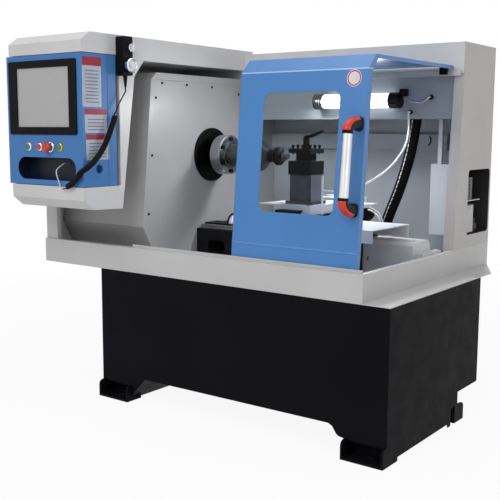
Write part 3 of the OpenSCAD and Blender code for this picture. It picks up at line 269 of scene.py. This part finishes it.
def pane(name, color, clear):
    """Thin clear sheet: mostly see-through, with a mirror sheen that grows at grazing angles and faint smears."""
    s = Shader(name)
    s.set(Base_Color=(0.008, 0.009, 0.01, 1), Specular_IOR_Level=0.35)
    s.link(s.ramp(s.noise(9.0), 0.02, 0.10), s.bsdf.inputs["Roughness"])
    through = s.add("ShaderNodeBsdfTransparent")
    through.inputs["Color"].default_value = (*color, 1)
    facing = s.add("ShaderNodeLayerWeight")
    facing.inputs["Blend"].default_value = 0.15
    share = s.add("ShaderNodeMapRange")
    share.inputs["To Min"].default_value = 1 - clear
    share.inputs["To Max"].default_value = 0.5
    s.link(facing.outputs["Facing"], share.inputs["Value"])
    join = s.add("ShaderNodeMixShader")
    s.link(share.outputs[0], join.inputs[0])
    s.link(through.outputs[0], join.inputs[1])
    s.link(s.bsdf.outputs[0], join.inputs[2])
    s.link(join.outputs[0], s.out.inputs[0])
    return s


def glowing(name, color, strength):
    """Lit diffuser with a faint cloudiness."""
    s = Shader(name)
    s.link(s.mix(s.ramp(s.noise(12.0), 0, 1), shade(color, 0.94), color), s.bsdf.inputs["Base Color"])
    s.link(s.mix(s.ramp(s.noise(12.0), 0, 1), shade(color, 0.92), color), s.bsdf.inputs["Emission Color"])
    s.set(Emission_Strength=strength, Roughness=0.3)
    return s


GREY = (0.46, 0.455, 0.455)
BLACK = (0.0045, 0.0045, 0.005)
LOOKS = {
    "cabinet": painted("cabinet_black", (0.0040, 0.0035, 0.0048), 0.5, 0.0003, coat=0.0, spread=0.2, spec=0.04),
    "grey": painted("enclosure_grey", GREY),
    "header": painted("header_grey", (0.51, 0.505, 0.51)),
    # Painted shade: the headstock cover and the spindle's face panel in darker copies of the enclosure grey.
    "cover": painted("shaded_cover_grey", (0.36, 0.355, 0.355)),
    "face": painted("shaded_face_grey", (0.32, 0.325, 0.33)),
    "lamp_wall": painted("lamp_wall_grey", (0.27, 0.30, 0.335)),
    # Painted shade: the right side panel in a darker copy of the enclosure grey.
    "side": painted("shaded_side_grey", (0.41, 0.395, 0.385)),
    "arm": painted("arm_grey", (0.52, 0.52, 0.53)),
    "inside": painted("inside_grey", (0.42, 0.46, 0.50)),
    "housing": painted("housing_white", (0.60, 0.63, 0.68)),
    "drive": painted("drive_cases", (0.05, 0.05, 0.052), spread=0.15),
    "blue": painted("door_blue", (0.048, 0.18, 0.45), rough=0.4, coat=0.5, spread=0.05, spec=0.22),
    "box_blue": painted("box_blue", (0.052, 0.165, 0.40), rough=0.4, coat=0.0, spread=0.06, spec=0.22),
    "end_cover": painted("end_cover_grey", (0.52, 0.525, 0.54)),
    "white": painted("cover_white", (0.62, 0.64, 0.70), rough=0.4),
    "slide_white": painted("slide_white", (0.62, 0.64, 0.70), rough=0.4),
    "iron": cast("black_casting", (0.006, 0.006, 0.0075), metallic=0.1, spec=0.1),
    "ring": painted("ring_black", shade(BLACK, 0.5), rough=0.4, coat=0.0, spec=0.08),
    "ground_iron": cast("ground_casting", (0.05, 0.053, 0.068), rough=0.4, metallic=0.4, spec=0.3),
    "steel": turned("turned_steel", (0.42, 0.42, 0.43)),
    "spindle": turned("spindle_steel", (0.37, 0.37, 0.385), rough=0.2),
    "shaft": turned("shaft_steel", (0.12, 0.125, 0.135), rough=0.3),
    "cone": turned("cone_steel", (0.06, 0.06, 0.065), rough=0.3),
    "bright": turned("bright_steel", (0.72, 0.73, 0.75), rough=0.14),
    "collar": turned("collar_steel", (0.72, 0.73, 0.75), rough=0.14),
    "grip": turned("grip_aluminium", (0.62, 0.62, 0.64), rough=0.34, stretch=(1, 1, 0.04)),
    "black": moulded("black_plastic", (0.0045, 0.0045, 0.006), rough=0.45, spec=0.06),
    "caps": moulded("lamp_cap_plastic", (0.0045, 0.0045, 0.006), rough=0.4, spec=0.2),
    "bracket": moulded("grip_bracket", (0.005, 0.004, 0.005), rough=0.35, spec=0.1),
    "shell": moulded("shell_red", (0.55, 0.03, 0.014), rough=0.28, coat=0.15, spec=0.3),
    "rubber": moulded("black_rubber", BLACK, rough=0.55, spec=0.05),
    "lead": moulded("lead_rubber", BLACK, rough=0.5, spec=0.12),
    # Painted highlight: a pale copy of the lead's rubber for the lead's tail.
    "tail": moulded("lead_tail", (0.50, 0.50, 0.52), rough=0.5, spec=0.12),
    "red": moulded("red_plastic", (0.42, 0.018, 0.018), rough=0.3, coat=0.25),
    "green": moulded("green_plastic", (0.015, 0.14, 0.075), rough=0.3, coat=0.25),
    "white_plastic": moulded("white_plastic", (0.70, 0.72, 0.73), rough=0.4),
    "screen": moulded("screen_grey", (0.35, 0.345, 0.35), rough=0.35, grain=0.00002, coat=0.2, spread=0.02),
    "bellows": moulded("bellows_white", (0.66, 0.69, 0.74), rough=0.55, grain=0.0003, scale=300.0),
    "pane": pane("window_pane", (0.96, 0.975, 0.98), clear=0.95),
    "lamp": glowing("lamp_diffuser", (1.0, 0.99, 0.97), 2.6),
}

# ---- Parts of a node in another colour: finishes and print, painted light and painted shade ------------------

# Corners are in millimetres from the tray's front face, and None leaves a side open.
BLACKENED = (0.01, 0.01, 0.011)
ALL = (None, None, None)
BOX_SIDE = -336.5          # just inside the control box's right side
LABEL_HEADS = (((-232, 1360), (-135, 1393)), ((-224, 1177), (-111, 1199)), ((-220, 1082), (-115, 1102)))
LABEL_FIELDS = (((-234, 1206), (-137, 1360)), ((-224, 1108), (-111, 1177)), ((-220, 1005), (-101, 1082)))
LABEL_MARGIN = (14, 10)
LINE_PITCH, LINE_WIDTH = 13, 4
SIGN_CENTRE = (650, 81.2, 1296)
SIGN_RINGS = ((28.5, (0.62, 0.60, 0.63)), (26.5, (0.40, 0.05, 0.085)), (21.5, (0.60, 0.55, 0.59)))
CAP_RINGS = (69, 81, 93, 105)
CAP_RING_WIDTH = 5.5


def tint(name, color, low, high=ALL):
    """Gives what a look's nodes have between two corners another colour."""
    LOOKS[name].over(LOOKS[name].within(low, high), color)


def label_corners(low, high, margin=(0, 0)):
    """Two corners round a label on the control box's side, from its limits in Y and Z."""
    return ((BOX_SIDE, low[0] + margin[0], low[1] + margin[1]), (None, high[0] - margin[0], high[1] - margin[1]))


# Painted shade inside the keyboard recess, then the plain labels: a red head, and a pale field with grey bars for
# lines.
tint("box_blue", (0.004, 0.008, 0.022), (-724, -235.4, 920), (-376, -120, 1016))
for low, high in LABEL_HEADS:
    tint("box_blue", (0.27, 0.018, 0.035), *label_corners(low, high))
for low, high in LABEL_FIELDS:
    tint("box_blue", (0.36, 0.39, 0.46), *label_corners(low, high))
    box = LOOKS["box_blue"]
    box.over(box.stripes(*label_corners(low, high, LABEL_MARGIN), LINE_PITCH, LINE_WIDTH), (0.13, 0.14, 0.18))

# Door: a plain ring for its sign, and painted highlights along its folds.
for radius, color in SIGN_RINGS:
    LOOKS["blue"].over(LOOKS["blue"].near(SIGN_CENTRE, radius), color)
# Painted highlights: paler blue bands along the upper and lower folds.
tint("blue", (0.30, 0.46, 0.68), (None, 80, 1325), (None, None, 1329.5))
tint("blue", (0.085, 0.24, 0.52), (None, None, 707), (None, 30, 713))

# Inside: the spindle behind its flange, the raised strips on the cross slide, painted shade in the electrics'
# opening, the lamp's left cap, painted light on the riser's right side, and the cases of the electrics. Outside: the
# yellow collar of one button.
tint("spindle", BLACKENED, ALL, (-291, None, None))
tint("slide_white", BLACKENED, (None, None, 832.05))
# Painted shade: near-black on the faces inside the electrics' opening.
for name in ("housing", "grey", "side"):
    tint(name, (0.024, 0.022, 0.024), (583.6, 850.6, 692.6), (743.5, 1098, 984.4))
tint("caps", (0.24, 0.25, 0.27), ALL, (200, None, None))
for x in CAP_RINGS:
    tint("caps", (0.012, 0.012, 0.014), (x, None, None), (x + CAP_RING_WIDTH, None, None))
# Painted light: the riser's right side made lighter, as if lit from the right.
tint("ground_iron", (0.17, 0.18, 0.215), (305.5, None, 844))
tint("drive", (0.50, 0.49, 0.50), (None, None, 833), (None, None, 840))
tint("drive", (0.42, 0.41, 0.42), (None, None, 700), (None, 1000, 815))
tint("collar", (0.62, 0.47, 0.03), (-487, None, None))

MATS = {name: look.mat for name, look in LOOKS.items()}

NODE_LOOK = {
    "base_cabinet": "cabinet", "mounting_feet": "cabinet", "chip_tray": "grey", "left_end_panel": "grey",
    "rear_panel": "grey", "right_side_panel": "side", "header_box": "header", "lamp_panel": "lamp_wall",
    "inner_back_panel": "inside", "electrics_housing": "housing", "electrics_units": "drive",
    "headstock_cover": "cover", "spindle_face_panel": "face", "cover_screws": "iron", "headstock_casting": "iron",
    "spindle_cover_ring": "ring", "spindle_shaft": "spindle", "mandrel": "shaft", "centring_cone": "cone",
    "flange_screws": "iron", "hand_nut": "black", "bed": "iron", "guide_rails": "steel",
    "z_ball_screw": "steel", "bed_end_cover": "end_cover", "saddle": "iron", "saddle_pipes": "white_plastic",
    "saddle_cover": "white", "cross_slide": "slide_white", "cross_motor": "black", "tool_riser": "ground_iron",
    "toolpost_block": "iron", "toolpost_bolts": "iron", "clamp_lever": "iron", "door_panel": "blue",
    "door_window": "pane",
    "door_grip": "grip", "door_gliders": "black", "door_rail": "grey", "control_bracket": "arm",
    "control_box": "box_blue", "screen_bezel": "black", "screen": "screen", "start_button": "green",
    "stop_button": "red", "emergency_stop": "red", "feed_button": "green", "button_collars": "collar",
    "pivot_pins": "steel",
    "mpg_pendant": "black", "mpg_handwheel": "bright", "mpg_knob": "bright", "lamp_tube": "lamp",
    "lamp_caps": "caps", "door_grip_brackets": "bracket", "way_bellows": "bellows", "mpg_cord": "rubber",
    "lamp_flex": "steel", "energy_hose": "rubber", "air_cable": "white_plastic",
}


def dress_cad():
    """Gives every CAD node its material."""
    for node, look in NODE_LOOK.items():
        obj = bpy.data.objects.get(node)
        if obj is None:
            continue
        if not obj.material_slots:
            obj.data.materials.append(MATS[look])
        for slot in obj.material_slots:
            slot.material = MATS[look]


# ---- Mesh helpers --------------------------------------------------------------------------------------------

def add_object(name, mesh, mat):
    """Smooth-shaded object for a mesh, with one material."""
    mesh.materials.append(MATS[mat])
    mesh.polygons.foreach_set("use_smooth", [True] * len(mesh.polygons))
    obj = bpy.data.objects.new(name, mesh)
    scene.collection.objects.link(obj)
    return obj


def add_mesh(name, verts, faces, mat):
    """Object made from points and faces."""
    mesh = bpy.data.meshes.new(name)
    mesh.from_pydata([tuple(v) for v in verts], [], faces)
    mesh.validate()
    mesh.update()
    return add_object(name, mesh, mat)


def smooth_route(points, steps):
    """Catmull-Rom points between the route's own points, as part.scad makes them."""
    out = []
    last = len(points) - 1
    for i in range(last):
        a, b = points[max(i - 1, 0)], points[i]
        c, d = points[i + 1], points[min(i + 2, last)]
        for k in range(steps):
            t = k / steps
            out.append(0.5 * (2 * b + (c - a) * t + (2 * a - 5 * b + 4 * c - d) * t * t
                              + (3 * b - a - 3 * c + d) * t * t * t))
    out.append(points[last])
    return out


def frames_along(points):
    """A direction and two crosswise axes at each point, carried along without twisting."""
    tangents = []
    for i in range(len(points)):
        tangents.append((points[min(i + 1, len(points) - 1)] - points[max(i - 1, 0)]).normalized())
    side = tangents[0].orthogonal().normalized()
    out = []
    for t in tangents:
        side = (side - t * side.dot(t)).normalized()
        out.append((t, side, t.cross(side)))
    return out


def sweep(name, points, radii, mat, sides):
    """Tube through the points, with a radius at each, closed at both ends."""
    verts, faces = [], []
    for p, r, (t, u, v) in zip(points, radii, frames_along(points)):
        for k in range(sides):
            a = 2 * math.pi * k / sides
            verts.append(p + r * (math.cos(a) * u + math.sin(a) * v))
    for i in range(len(points) - 1):
        for k in range(sides):
            n = (k + 1) % sides
            faces.append((i * sides + k, i * sides + n, (i + 1) * sides + n, (i + 1) * sides + k))
    faces.append(tuple(range(sides - 1, -1, -1)))
    faces.append(tuple((len(points) - 1) * sides + k for k in range(sides)))
    return add_mesh(name, verts, faces, mat)


def resample(points, step):
    """The same line with a point every step."""
    out = [points[0].copy()]
    carry = 0.0
    for a, b in zip(points, points[1:]):
        span = (b - a).length
        while carry + span >= step:
            cut = (step - carry) / span
            a = a + (b - a) * cut
            out.append(a.copy())
            span = (b - a).length
            carry = 0.0
        carry += span
    return out


# ---- Cords ---------------------------------------------------------------------------------------------------

# Each route repeats its points from part.scad, set out from the tray's front face, in millimetres.
LEAD_ROUTE = [(-316, -26.5, 1286), (-316, -26.5, 1278), (-316, -26.5, 1270), (-316, -48, 1241), (-316, -72, 1207),
              (-316, -82, 1184), (-316, -93, 1155), (-316, -120, 1100), (-316, -150, 1052), (-316, -191, 1008),
              (-316, -232, 978), (-330, -252, 962), (-356, -252, 938), (-395, -252, 910), (-425, -252, 896),
              (-434, -252, 893), (-449, -252, 897), (-462, -250, 920), (-486, -240, 960), (-482, -208, 986),
              (-482, -192, 986), (-482, -176, 986)]
LEAD_STEPS = 8             # points on each span of the route
LEAD_COIL_FIRST = 37       # the smoothed route's points between which the lead is curled
LEAD_COIL_LAST = 115
LEAD_WIRE = 2.5 * MM
LEAD_SIDES = 8
TAIL_HIGHLIGHT_X = -436 * MM         # painted highlight: the lead is pale to the left of this
COIL_RADIUS = 9.0 * MM     # of the wire's own line
COIL_PITCH = 5.6           # mm of route a turn
COIL_EASE = 24.0           # mm of route over which the curl opens and closes
COIL_STEPS = 14            # points on each turn
COIL_STEP_MOST = 2.0       # mm of route between points where the curl opens
COIL_SLOWEST = 0.1         # share to which the curl's turning slows at its ends

HOSE_ROUTE = [(512, 850, 1346), (512, 850, 1320), (512, 850, 1250), (509, 850, 1171), (490, 848, 1042),
              (465, 846, 944), (438, 844, 860), (410, 843, 790), (393, 842, 744), (387, 842, 722),
              (387, 842, 712), (387, 842, 702)]
HOSE_R = 25 * MM
HOSE_SIDES = 48
HOSE_STEP = 2.0 * MM
HOSE_RIBS = (0, 0.9, 1.8, 0.9)                      # mm taken off the radius, step by step
HOSE_DASH, HOSE_DASH_PITCH = 8, 10                  # steps
HOSE_BARE = (8, 6)                                  # steps without a line at its ends
HOSE_LINE_FACING = Vector((-0.25, -0.97, 0))        # the way that its pale line faces, where it also stands in for the highlight on the ribs

AIR_ROUTE = [(510, 785, 1198), (510, 780, 1198), (510, 775, 1198), (513, 768, 1188), (519, 760, 1162),
             (526, 750, 1130), (533, 728, 1094), (538, 690, 1053), (534, 610, 994), (518, 525, 947),
             (490, 450, 914), (452, 398, 895), (408, 374, 888), (390, 374, 888), (372, 374, 888)]
AIR_R = 4 * MM

FLEX_ROUTE = [(490, 763, 1254), (498, 763, 1254), (506, 763, 1254), (530, 763, 1242), (560, 765, 1236),
              (588, 767, 1244), (600, 773, 1257), (600, 781, 1257), (600, 789, 1257)]
FLEX_R = 5 * MM
FLEX_GROOVE = 0.7 * MM


def lay_cord(obj, node, ends):
    """Hides the node that the cord stands for and sets the cord in place: left in the row frame when ends names the
    two bodies it runs between, attached to the one it stays on otherwise.
    """
    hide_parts(node)
    if len(ends) == 2:
        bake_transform(obj)
    else:
        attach(obj, ends[0])


def coiled_lead():
    """The handset's lead: straight, then curled round its route, then straight into the recess."""
    route = smooth_route([at(*p) for p in LEAD_ROUTE], LEAD_STEPS)
    before, after = route[:LEAD_COIL_FIRST], route[LEAD_COIL_LAST + 1:]
    coil = resample(route[LEAD_COIL_FIRST:LEAD_COIL_LAST + 1], 1.0 * MM)
    line = list(before)
    frames = frames_along(coil)
    end = len(coil) - 1
    along = angle = 0.0
    while along < end:
        share = min(1.0, along / COIL_EASE, (end - along) / COIL_EASE)
        rate = 2 * math.pi / COIL_PITCH * max(share, COIL_SLOWEST) ** 3
        k = int(along)
        swell = COIL_RADIUS * share * share * (3 - 2 * share)
        p = coil[k].lerp(coil[min(k + 1, end)], along - k)
        line.append(p + swell * (math.cos(angle) * frames[k][1] + math.sin(angle) * frames[k][2]))
        step = min(COIL_STEP_MOST, 2 * math.pi / COIL_STEPS / rate)
        along += step
        angle += rate * step
    line += after
    obj = sweep("handset_lead", line, [LEAD_WIRE] * len(line), "lead", sides=LEAD_SIDES)
    # Painted highlight: the lead's tail, towards the recess, in the pale copy of its rubber.
    obj.data.materials.append(MATS["tail"])
    tail = len(line) - sum(p.x < TAIL_HIGHLIGHT_X for p in after)
    for face in obj.data.polygons:
        if face.index >= tail * LEAD_SIDES and len(face.vertices) == 4:
            face.material_index = 1
    lay_cord(obj, "mpg_cord", (ROOT, "control"))


def ribbed_hose():
    """Corrugated conduit that bends between the header and the saddle, with a pale dashed line down one side."""
    line = resample(smooth_route([at(*p) for p in HOSE_ROUTE], 12), HOSE_STEP)
    line[-1] = at(*HOSE_ROUTE[-1])
    radii = [HOSE_R - HOSE_RIBS[i % len(HOSE_RIBS)] * MM for i in range(len(line))]
    obj = sweep("energy_conduit", line, radii, "rubber", sides=HOSE_SIDES)
    # The pale dashes are print and painted highlight: they stand in for the highlights on the ribs.
    obj.data.materials.append(MATS["white_plastic"])
    middle = len(line) // 2 * HOSE_SIDES
    front = max(range(HOSE_SIDES), key=lambda k: obj.data.polygons[middle + k].normal @ HOSE_LINE_FACING)
    for face in obj.data.polygons:
        ring, k = divmod(face.index, HOSE_SIDES)
        lined = HOSE_BARE[0] < ring < len(line) - HOSE_BARE[1]
        if k == front and lined and ring % HOSE_DASH_PITCH < HOSE_DASH:
            face.material_index = 1
    lay_cord(obj, "energy_hose", (ROOT, "saddle"))


def air_line():
    """Thin plastic hose from the lamp panel to the saddle's blow pipe."""
    line = smooth_route([at(*p) for p in AIR_ROUTE], 8)
    obj = sweep("air_line", line, [AIR_R] * len(line), "white_plastic", sides=12)
    lay_cord(obj, "air_cable", (ROOT, "saddle"))


def lamp_conduit():
    """Spiral-wound metal conduit from the lamp's cap to its gland."""
    line = resample(smooth_route([at(*p) for p in FLEX_ROUTE], 10), 1.0 * MM)
    line[-1] = at(*FLEX_ROUTE[-1])
    radii = [FLEX_R - FLEX_GROOVE * (i % 2) for i in range(len(line))]
    obj = sweep("lamp_conduit", line, radii, "steel", sides=14)
    lay_cord(obj, "lamp_flex", (ROOT,))


coiled_lead()
ribbed_hose()
air_line()
lamp_conduit()
dress_cad()


# ---- Pieces --------------------------------------------------------------------------------------------------

BELLOWS_X = (-221, 156)
BELLOWS_Y = 547
BELLOWS_Z = 708
BELLOWS_R = 40
BELLOWS_FOLDS = 15
BELLOWS_FOLD_HEIGHT = 2.2
BELLOWS_PEAK = 0.25                # how pointed the folds are, from 0, a plain wave, to 1
BELLOWS_SAG = 0.5                  # how far the middle gives way
BELLOWS_SKIN = 1.5
BELLOWS_CLEAR = 0.2                # the skin stays this far above BELLOWS_Z
BELLOWS_STEPS, BELLOWS_ARC = 10, 36    # steps along one fold, and round the half circle


def bellows():
    """Pleated half-round cover between its bracket and the saddle, one thin skin with rounded folds."""
    steps, arc = BELLOWS_STEPS, BELLOWS_ARC
    first, last = BELLOWS_X
    total = BELLOWS_FOLDS * steps
    verts, faces = [], []
    for skin in (0, 1):
        for i in range(total + 1):
            x = first + (last - first) * i / total
            wave = math.cos(2 * math.pi * i / steps)
            fold = BELLOWS_FOLD_HEIGHT * wave * (1 - BELLOWS_PEAK + BELLOWS_PEAK * abs(wave))
            radius = BELLOWS_R - fold - BELLOWS_SKIN * skin
            for k in range(arc + 1):
                a = math.pi * k / arc
                sag = BELLOWS_SAG * math.sin(3 * a) * math.sin(math.pi * i / total)
                verts.append(at(x, BELLOWS_Y - (radius + sag) * math.cos(a),
                                BELLOWS_Z + max(BELLOWS_CLEAR, (radius + sag) * math.sin(a))))
    row = arc + 1
    layer = row * (total + 1)
    for i in range(total):
        for k in range(arc):
            q = i * row + k
            faces.append((q, q + row, q + row + 1, q + 1))
            faces.append((layer + q, layer + q + 1, layer + q + row + 1, layer + q + row))
        for k in (0, arc):
            q = i * row + k
            face = (q, layer + q, layer + q + row, q + row)
            faces.append(face if k == 0 else face[::-1])
    for i in (0, total):
        for k in range(arc):
            q = i * row + k
            face = (q, q + 1, layer + q + 1, layer + q)
            faces.append(face if i == 0 else face[::-1])
    obj = add_mesh("pleated_bellows", verts, faces, "bellows")
    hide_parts("way_bellows")
    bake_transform(obj)


bellows()


GRIP_AT = (680, -27, 900)          # the grip's lower end
GRIP_LEAN = math.atan(62 / 679)
GRIP_LENGTH = 212
GRIP_FOOT = 71.3                   # from the grip's line to the door
GRIP_ARM = 14                      # straight part of a bracket
GRIP_ARM_SHARE = 0.2               # of the bracket's rings
ELBOW_RISE, ELBOW_RISE_RATE = 25, 1.15     # how far the bent part goes on along the grip, and how soon
ELBOW_TURN_RATE = 1.35             # how soon its section turns towards the door
ELBOW_POWER = 0.86                 # how soon it heads for the door
ELBOW_SHORT = 0.3                  # how far from the door it ends
ELBOW_WIDE, ELBOW_WAIST = 18.5, 2.0    # half its width, and how far that draws in at the middle
ELBOW_DEEP, ELBOW_SPREAD = 18.5, 5.5   # half its depth at the grip, and what the door's end adds
ELBOW_SQUARE = 0.35                # how square its section is at the door, from 0, round
ELBOW_RINGS, ELBOW_SIDES = 26, 32
SHELL_SPAN = (0.16, 0.86)          # the share of the bracket that the shell covers
SHELL_SIDE = 0.3                   # it covers the side where the section's sine is above this
SHELL_WIDER, SHELL_PROUD = 1.03, 0.7   # how far it stands out: a factor sideways, and mm outwards


def grip_point(x, back, up):
    """A point of the grip's own frame, which leans with the door: back is towards the door, up along the tube."""
    c, n = math.cos(GRIP_LEAN), math.sin(GRIP_LEAN)
    return at(GRIP_AT[0] + x, GRIP_AT[1] + back * c + up * n, GRIP_AT[2] + up * c - back * n)


def grip_brackets():
    """Two moulded elbows that carry the grip, each with a coloured shell let into its outward side."""
    verts, faces, slots = [], [], []
    rings, sides = ELBOW_RINGS, ELBOW_SIDES
    for end in (1, -1):
        start = len(verts)
        base = GRIP_LENGTH if end > 0 else 0
        for i in range(rings + 1):
            t = i / rings
            if t < GRIP_ARM_SHARE:
                back, up, turn = 0.0, GRIP_ARM * t / GRIP_ARM_SHARE, 0.0
            else:
                u = (t - GRIP_ARM_SHARE) / (1 - GRIP_ARM_SHARE)
                turn = min(1.0, u * ELBOW_TURN_RATE) * math.pi / 2
                back = (GRIP_FOOT - ELBOW_SHORT) * (1 - math.cos(u * math.pi / 2)) ** ELBOW_POWER
                up = GRIP_ARM + ELBOW_RISE * math.sin(min(1.0, u * ELBOW_RISE_RATE) * math.pi / 2)
            wide = ELBOW_WIDE - ELBOW_WAIST * math.sin(math.pi * t)
            deep = ELBOW_DEEP + ELBOW_SPREAD * t
            power = 1 - ELBOW_SQUARE * t
            shelled = SHELL_SPAN[0] < t < SHELL_SPAN[1]
            for k in range(sides):
                a = 2 * math.pi * k / sides
                ca, sa = math.cos(a), math.sin(a)
                x = wide * math.copysign(abs(ca) ** power, ca)
                out = deep * math.copysign(abs(sa) ** power, sa)
                if shelled and sa > SHELL_SIDE:
                    x, out = x * SHELL_WIDER, out + SHELL_PROUD
                verts.append(grip_point(x, back - out * math.cos(turn), base + end * (up + out * math.sin(turn))))
        for i in range(rings):
            for k in range(sides):
                n = (k + 1) % sides
                q = (start + i * sides + k, start + i * sides + n, start + (i + 1) * sides + n,
                     start + (i + 1) * sides + k)
                faces.append(q if end > 0 else q[::-1])
                middle = math.sin(2 * math.pi * (k + 0.5) / sides)
                covered = SHELL_SPAN[0] < (i + 0.5) / rings < SHELL_SPAN[1]
                slots.append(1 if middle > SHELL_SIDE and covered else 0)
        for ring, flip in ((0, end > 0), (rings, end < 0)):
            cap = tuple(start + ring * sides + k for k in range(sides))
            faces.append(cap[::-1] if flip else cap)
            slots.append(0)
    obj = add_mesh("grip_brackets", verts, faces, "bracket")
    obj.data.materials.append(MATS["shell"])
    obj.data.polygons.foreach_set("material_index", slots)
    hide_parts("door_grip_brackets")
    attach(obj, "door")


def rounded_box(name, low, high, radius, mat, body):
    """Moulded box with rounded corners all round."""
    solid = bmesh.new()
    bmesh.ops.create_cube(solid, size=1.0)
    a, b = at(*low), at(*high)
    for v in solid.verts:
        v.co = Vector([a[i] if v.co[i] < 0 else b[i] for i in range(3)])
    bmesh.ops.bevel(solid, geom=list(solid.edges), offset=radius * MM, segments=4, profile=0.5, affect="EDGES")
    mesh = bpy.data.meshes.new(name)
    solid.to_mesh(mesh)
    solid.free()
    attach(add_object(name, mesh, mat), body)


HOOK_ROUTE = [(478, 1046, 1104), (478, 1040, 1104), (482, 1030, 1103), (492, 1024, 1098), (499, 1022, 1086),
              (497, 1022, 1070), (488, 1024, 1060), (476, 1028, 1057)]
HOOK_R = 3.2 * MM


def wall_hook():
    """Small bent hook on the inner back wall."""
    line = smooth_route([at(*p) for p in HOOK_ROUTE], 6)
    obj = sweep("wall_hook", line, [HOOK_R] * len(line), "black", sides=12)
    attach(obj, ROOT)


grip_brackets()
rounded_box("lamp_terminal_box", (478, 748, 1263), (503, 790, 1292), 5, "black", ROOT)
wall_hook()


# ---- Stage ---------------------------------------------------------------------------------------------------

FLOOR_SIZE = 28.0
FLOOR_GLOW = ((1.4, 0.92), (4.0, 1.0))      # share of plain white at two distances from the machine's middle
WORLD_LIGHT = 0.38


def make_stage():
    """Plain pale floor, seen as white with a faint shadow, and a white surround."""
    floor = Shader("floor")
    floor.set(Base_Color=(0.82, 0.82, 0.82, 1), Roughness=0.6)
    glow = floor.add("ShaderNodeEmission")
    glow.inputs["Strength"].default_value = 1.0
    path = floor.add("ShaderNodeLightPath")
    seen = floor.math("ADD", path.outputs["Is Camera Ray"], path.outputs["Is Glossy Ray"])
    seen = floor.math("ADD", seen, path.outputs["Is Transmission Ray"])
    far = floor.add("ShaderNodeMapRange")
    floor.link(floor.distance((0, 415, 0)), far.inputs["Value"])
    (near, near_share), (wide, wide_share) = FLOOR_GLOW
    for name, value in (("From Min", near), ("From Max", wide), ("To Min", near_share), ("To Max", wide_share)):
        far.inputs[name].default_value = value
    share = floor.add("ShaderNodeMath", operation="MULTIPLY", use_clamp=True)
    floor.link(far.outputs[0], share.inputs[1])
    floor.link(floor.math("MINIMUM", seen, 1.0), share.inputs[0])
    join = floor.add("ShaderNodeMixShader")
    floor.link(share.outputs[0], join.inputs[0])
    floor.link(floor.bsdf.outputs[0], join.inputs[1])
    floor.link(glow.outputs[0], join.inputs[2])
    floor.link(join.outputs[0], floor.out.inputs[0])
    mesh = bpy.data.meshes.new("floor")
    half = FLOOR_SIZE / 2
    mesh.from_pydata([(-half, -half, 0), (half, -half, 0), (half, half, 0), (-half, half, 0)], [], [(0, 1, 2, 3)])
    mesh.materials.append(floor.mat)
    obj = bpy.data.objects.new("floor", mesh)
    scene.collection.objects.link(obj)

    world = bpy.data.worlds.new("studio")
    scene.world = world
    world.use_nodes = True
    tree = world.node_tree
    tree.nodes.clear()
    out = tree.nodes.new("ShaderNodeOutputWorld")
    around = tree.nodes.new("ShaderNodeBackground")
    around.inputs[0].default_value = (1.0, 0.99, 0.985, 1)
    around.inputs[1].default_value = WORLD_LIGHT
    seen = tree.nodes.new("ShaderNodeBackground")
    seen.inputs[1].default_value = 1.0
    seen.inputs[0].default_value = (1, 1, 1, 1)
    path = tree.nodes.new("ShaderNodeLightPath")
    join = tree.nodes.new("ShaderNodeMixShader")
    share = path.outputs["Is Camera Ray"]
    for kind in ("Is Glossy Ray", "Is Transmission Ray"):
        either = tree.nodes.new("ShaderNodeMath")
        either.operation = "MAXIMUM"
        tree.links.new(share, either.inputs[0])
        tree.links.new(path.outputs[kind], either.inputs[1])
        share = either.outputs[0]
    tree.links.new(share, join.inputs[0])
    tree.links.new(around.outputs[0], join.inputs[1])
    tree.links.new(seen.outputs[0], join.inputs[2])
    tree.links.new(join.outputs[0], out.inputs[0])


def area_light(name, place, target, size, power):
    """Soft rectangular lamp aimed at a point, not seen by the camera."""
    light = bpy.data.lights.new(name, "AREA")
    light.shape = "RECTANGLE"
    light.size, light.size_y = size
    light.energy = power
    obj = bpy.data.objects.new(name, light)
    scene.collection.objects.link(obj)
    obj.location = place
    obj.rotation_euler = (Vector(target) - Vector(place)).to_track_quat("-Z", "Y").to_euler()
    obj.visible_camera = False


make_stage()
area_light("key", (0.9, -4.4, 3.5), (0, 0, 0.9), (2.8, 2.0), 98)
area_light("fill", (4.4, -1.2, 2.4), (0, 0, 0.8), (2.6, 2.2), 42)
area_light("top", (0.2, -0.4, 4.6), (0, 0, 0.5), (3.2, 3.2), 52)
area_light("left", (-0.5, -3.5, 2.3), (0.7, -0.3, 1.1), (0.8, 1.0), 7)
area_light("lamp_glow", at(250, 715, 1238), at(180, 420, 800), (0.40, 0.05), 8)

scene.view_settings.view_transform = "Standard"
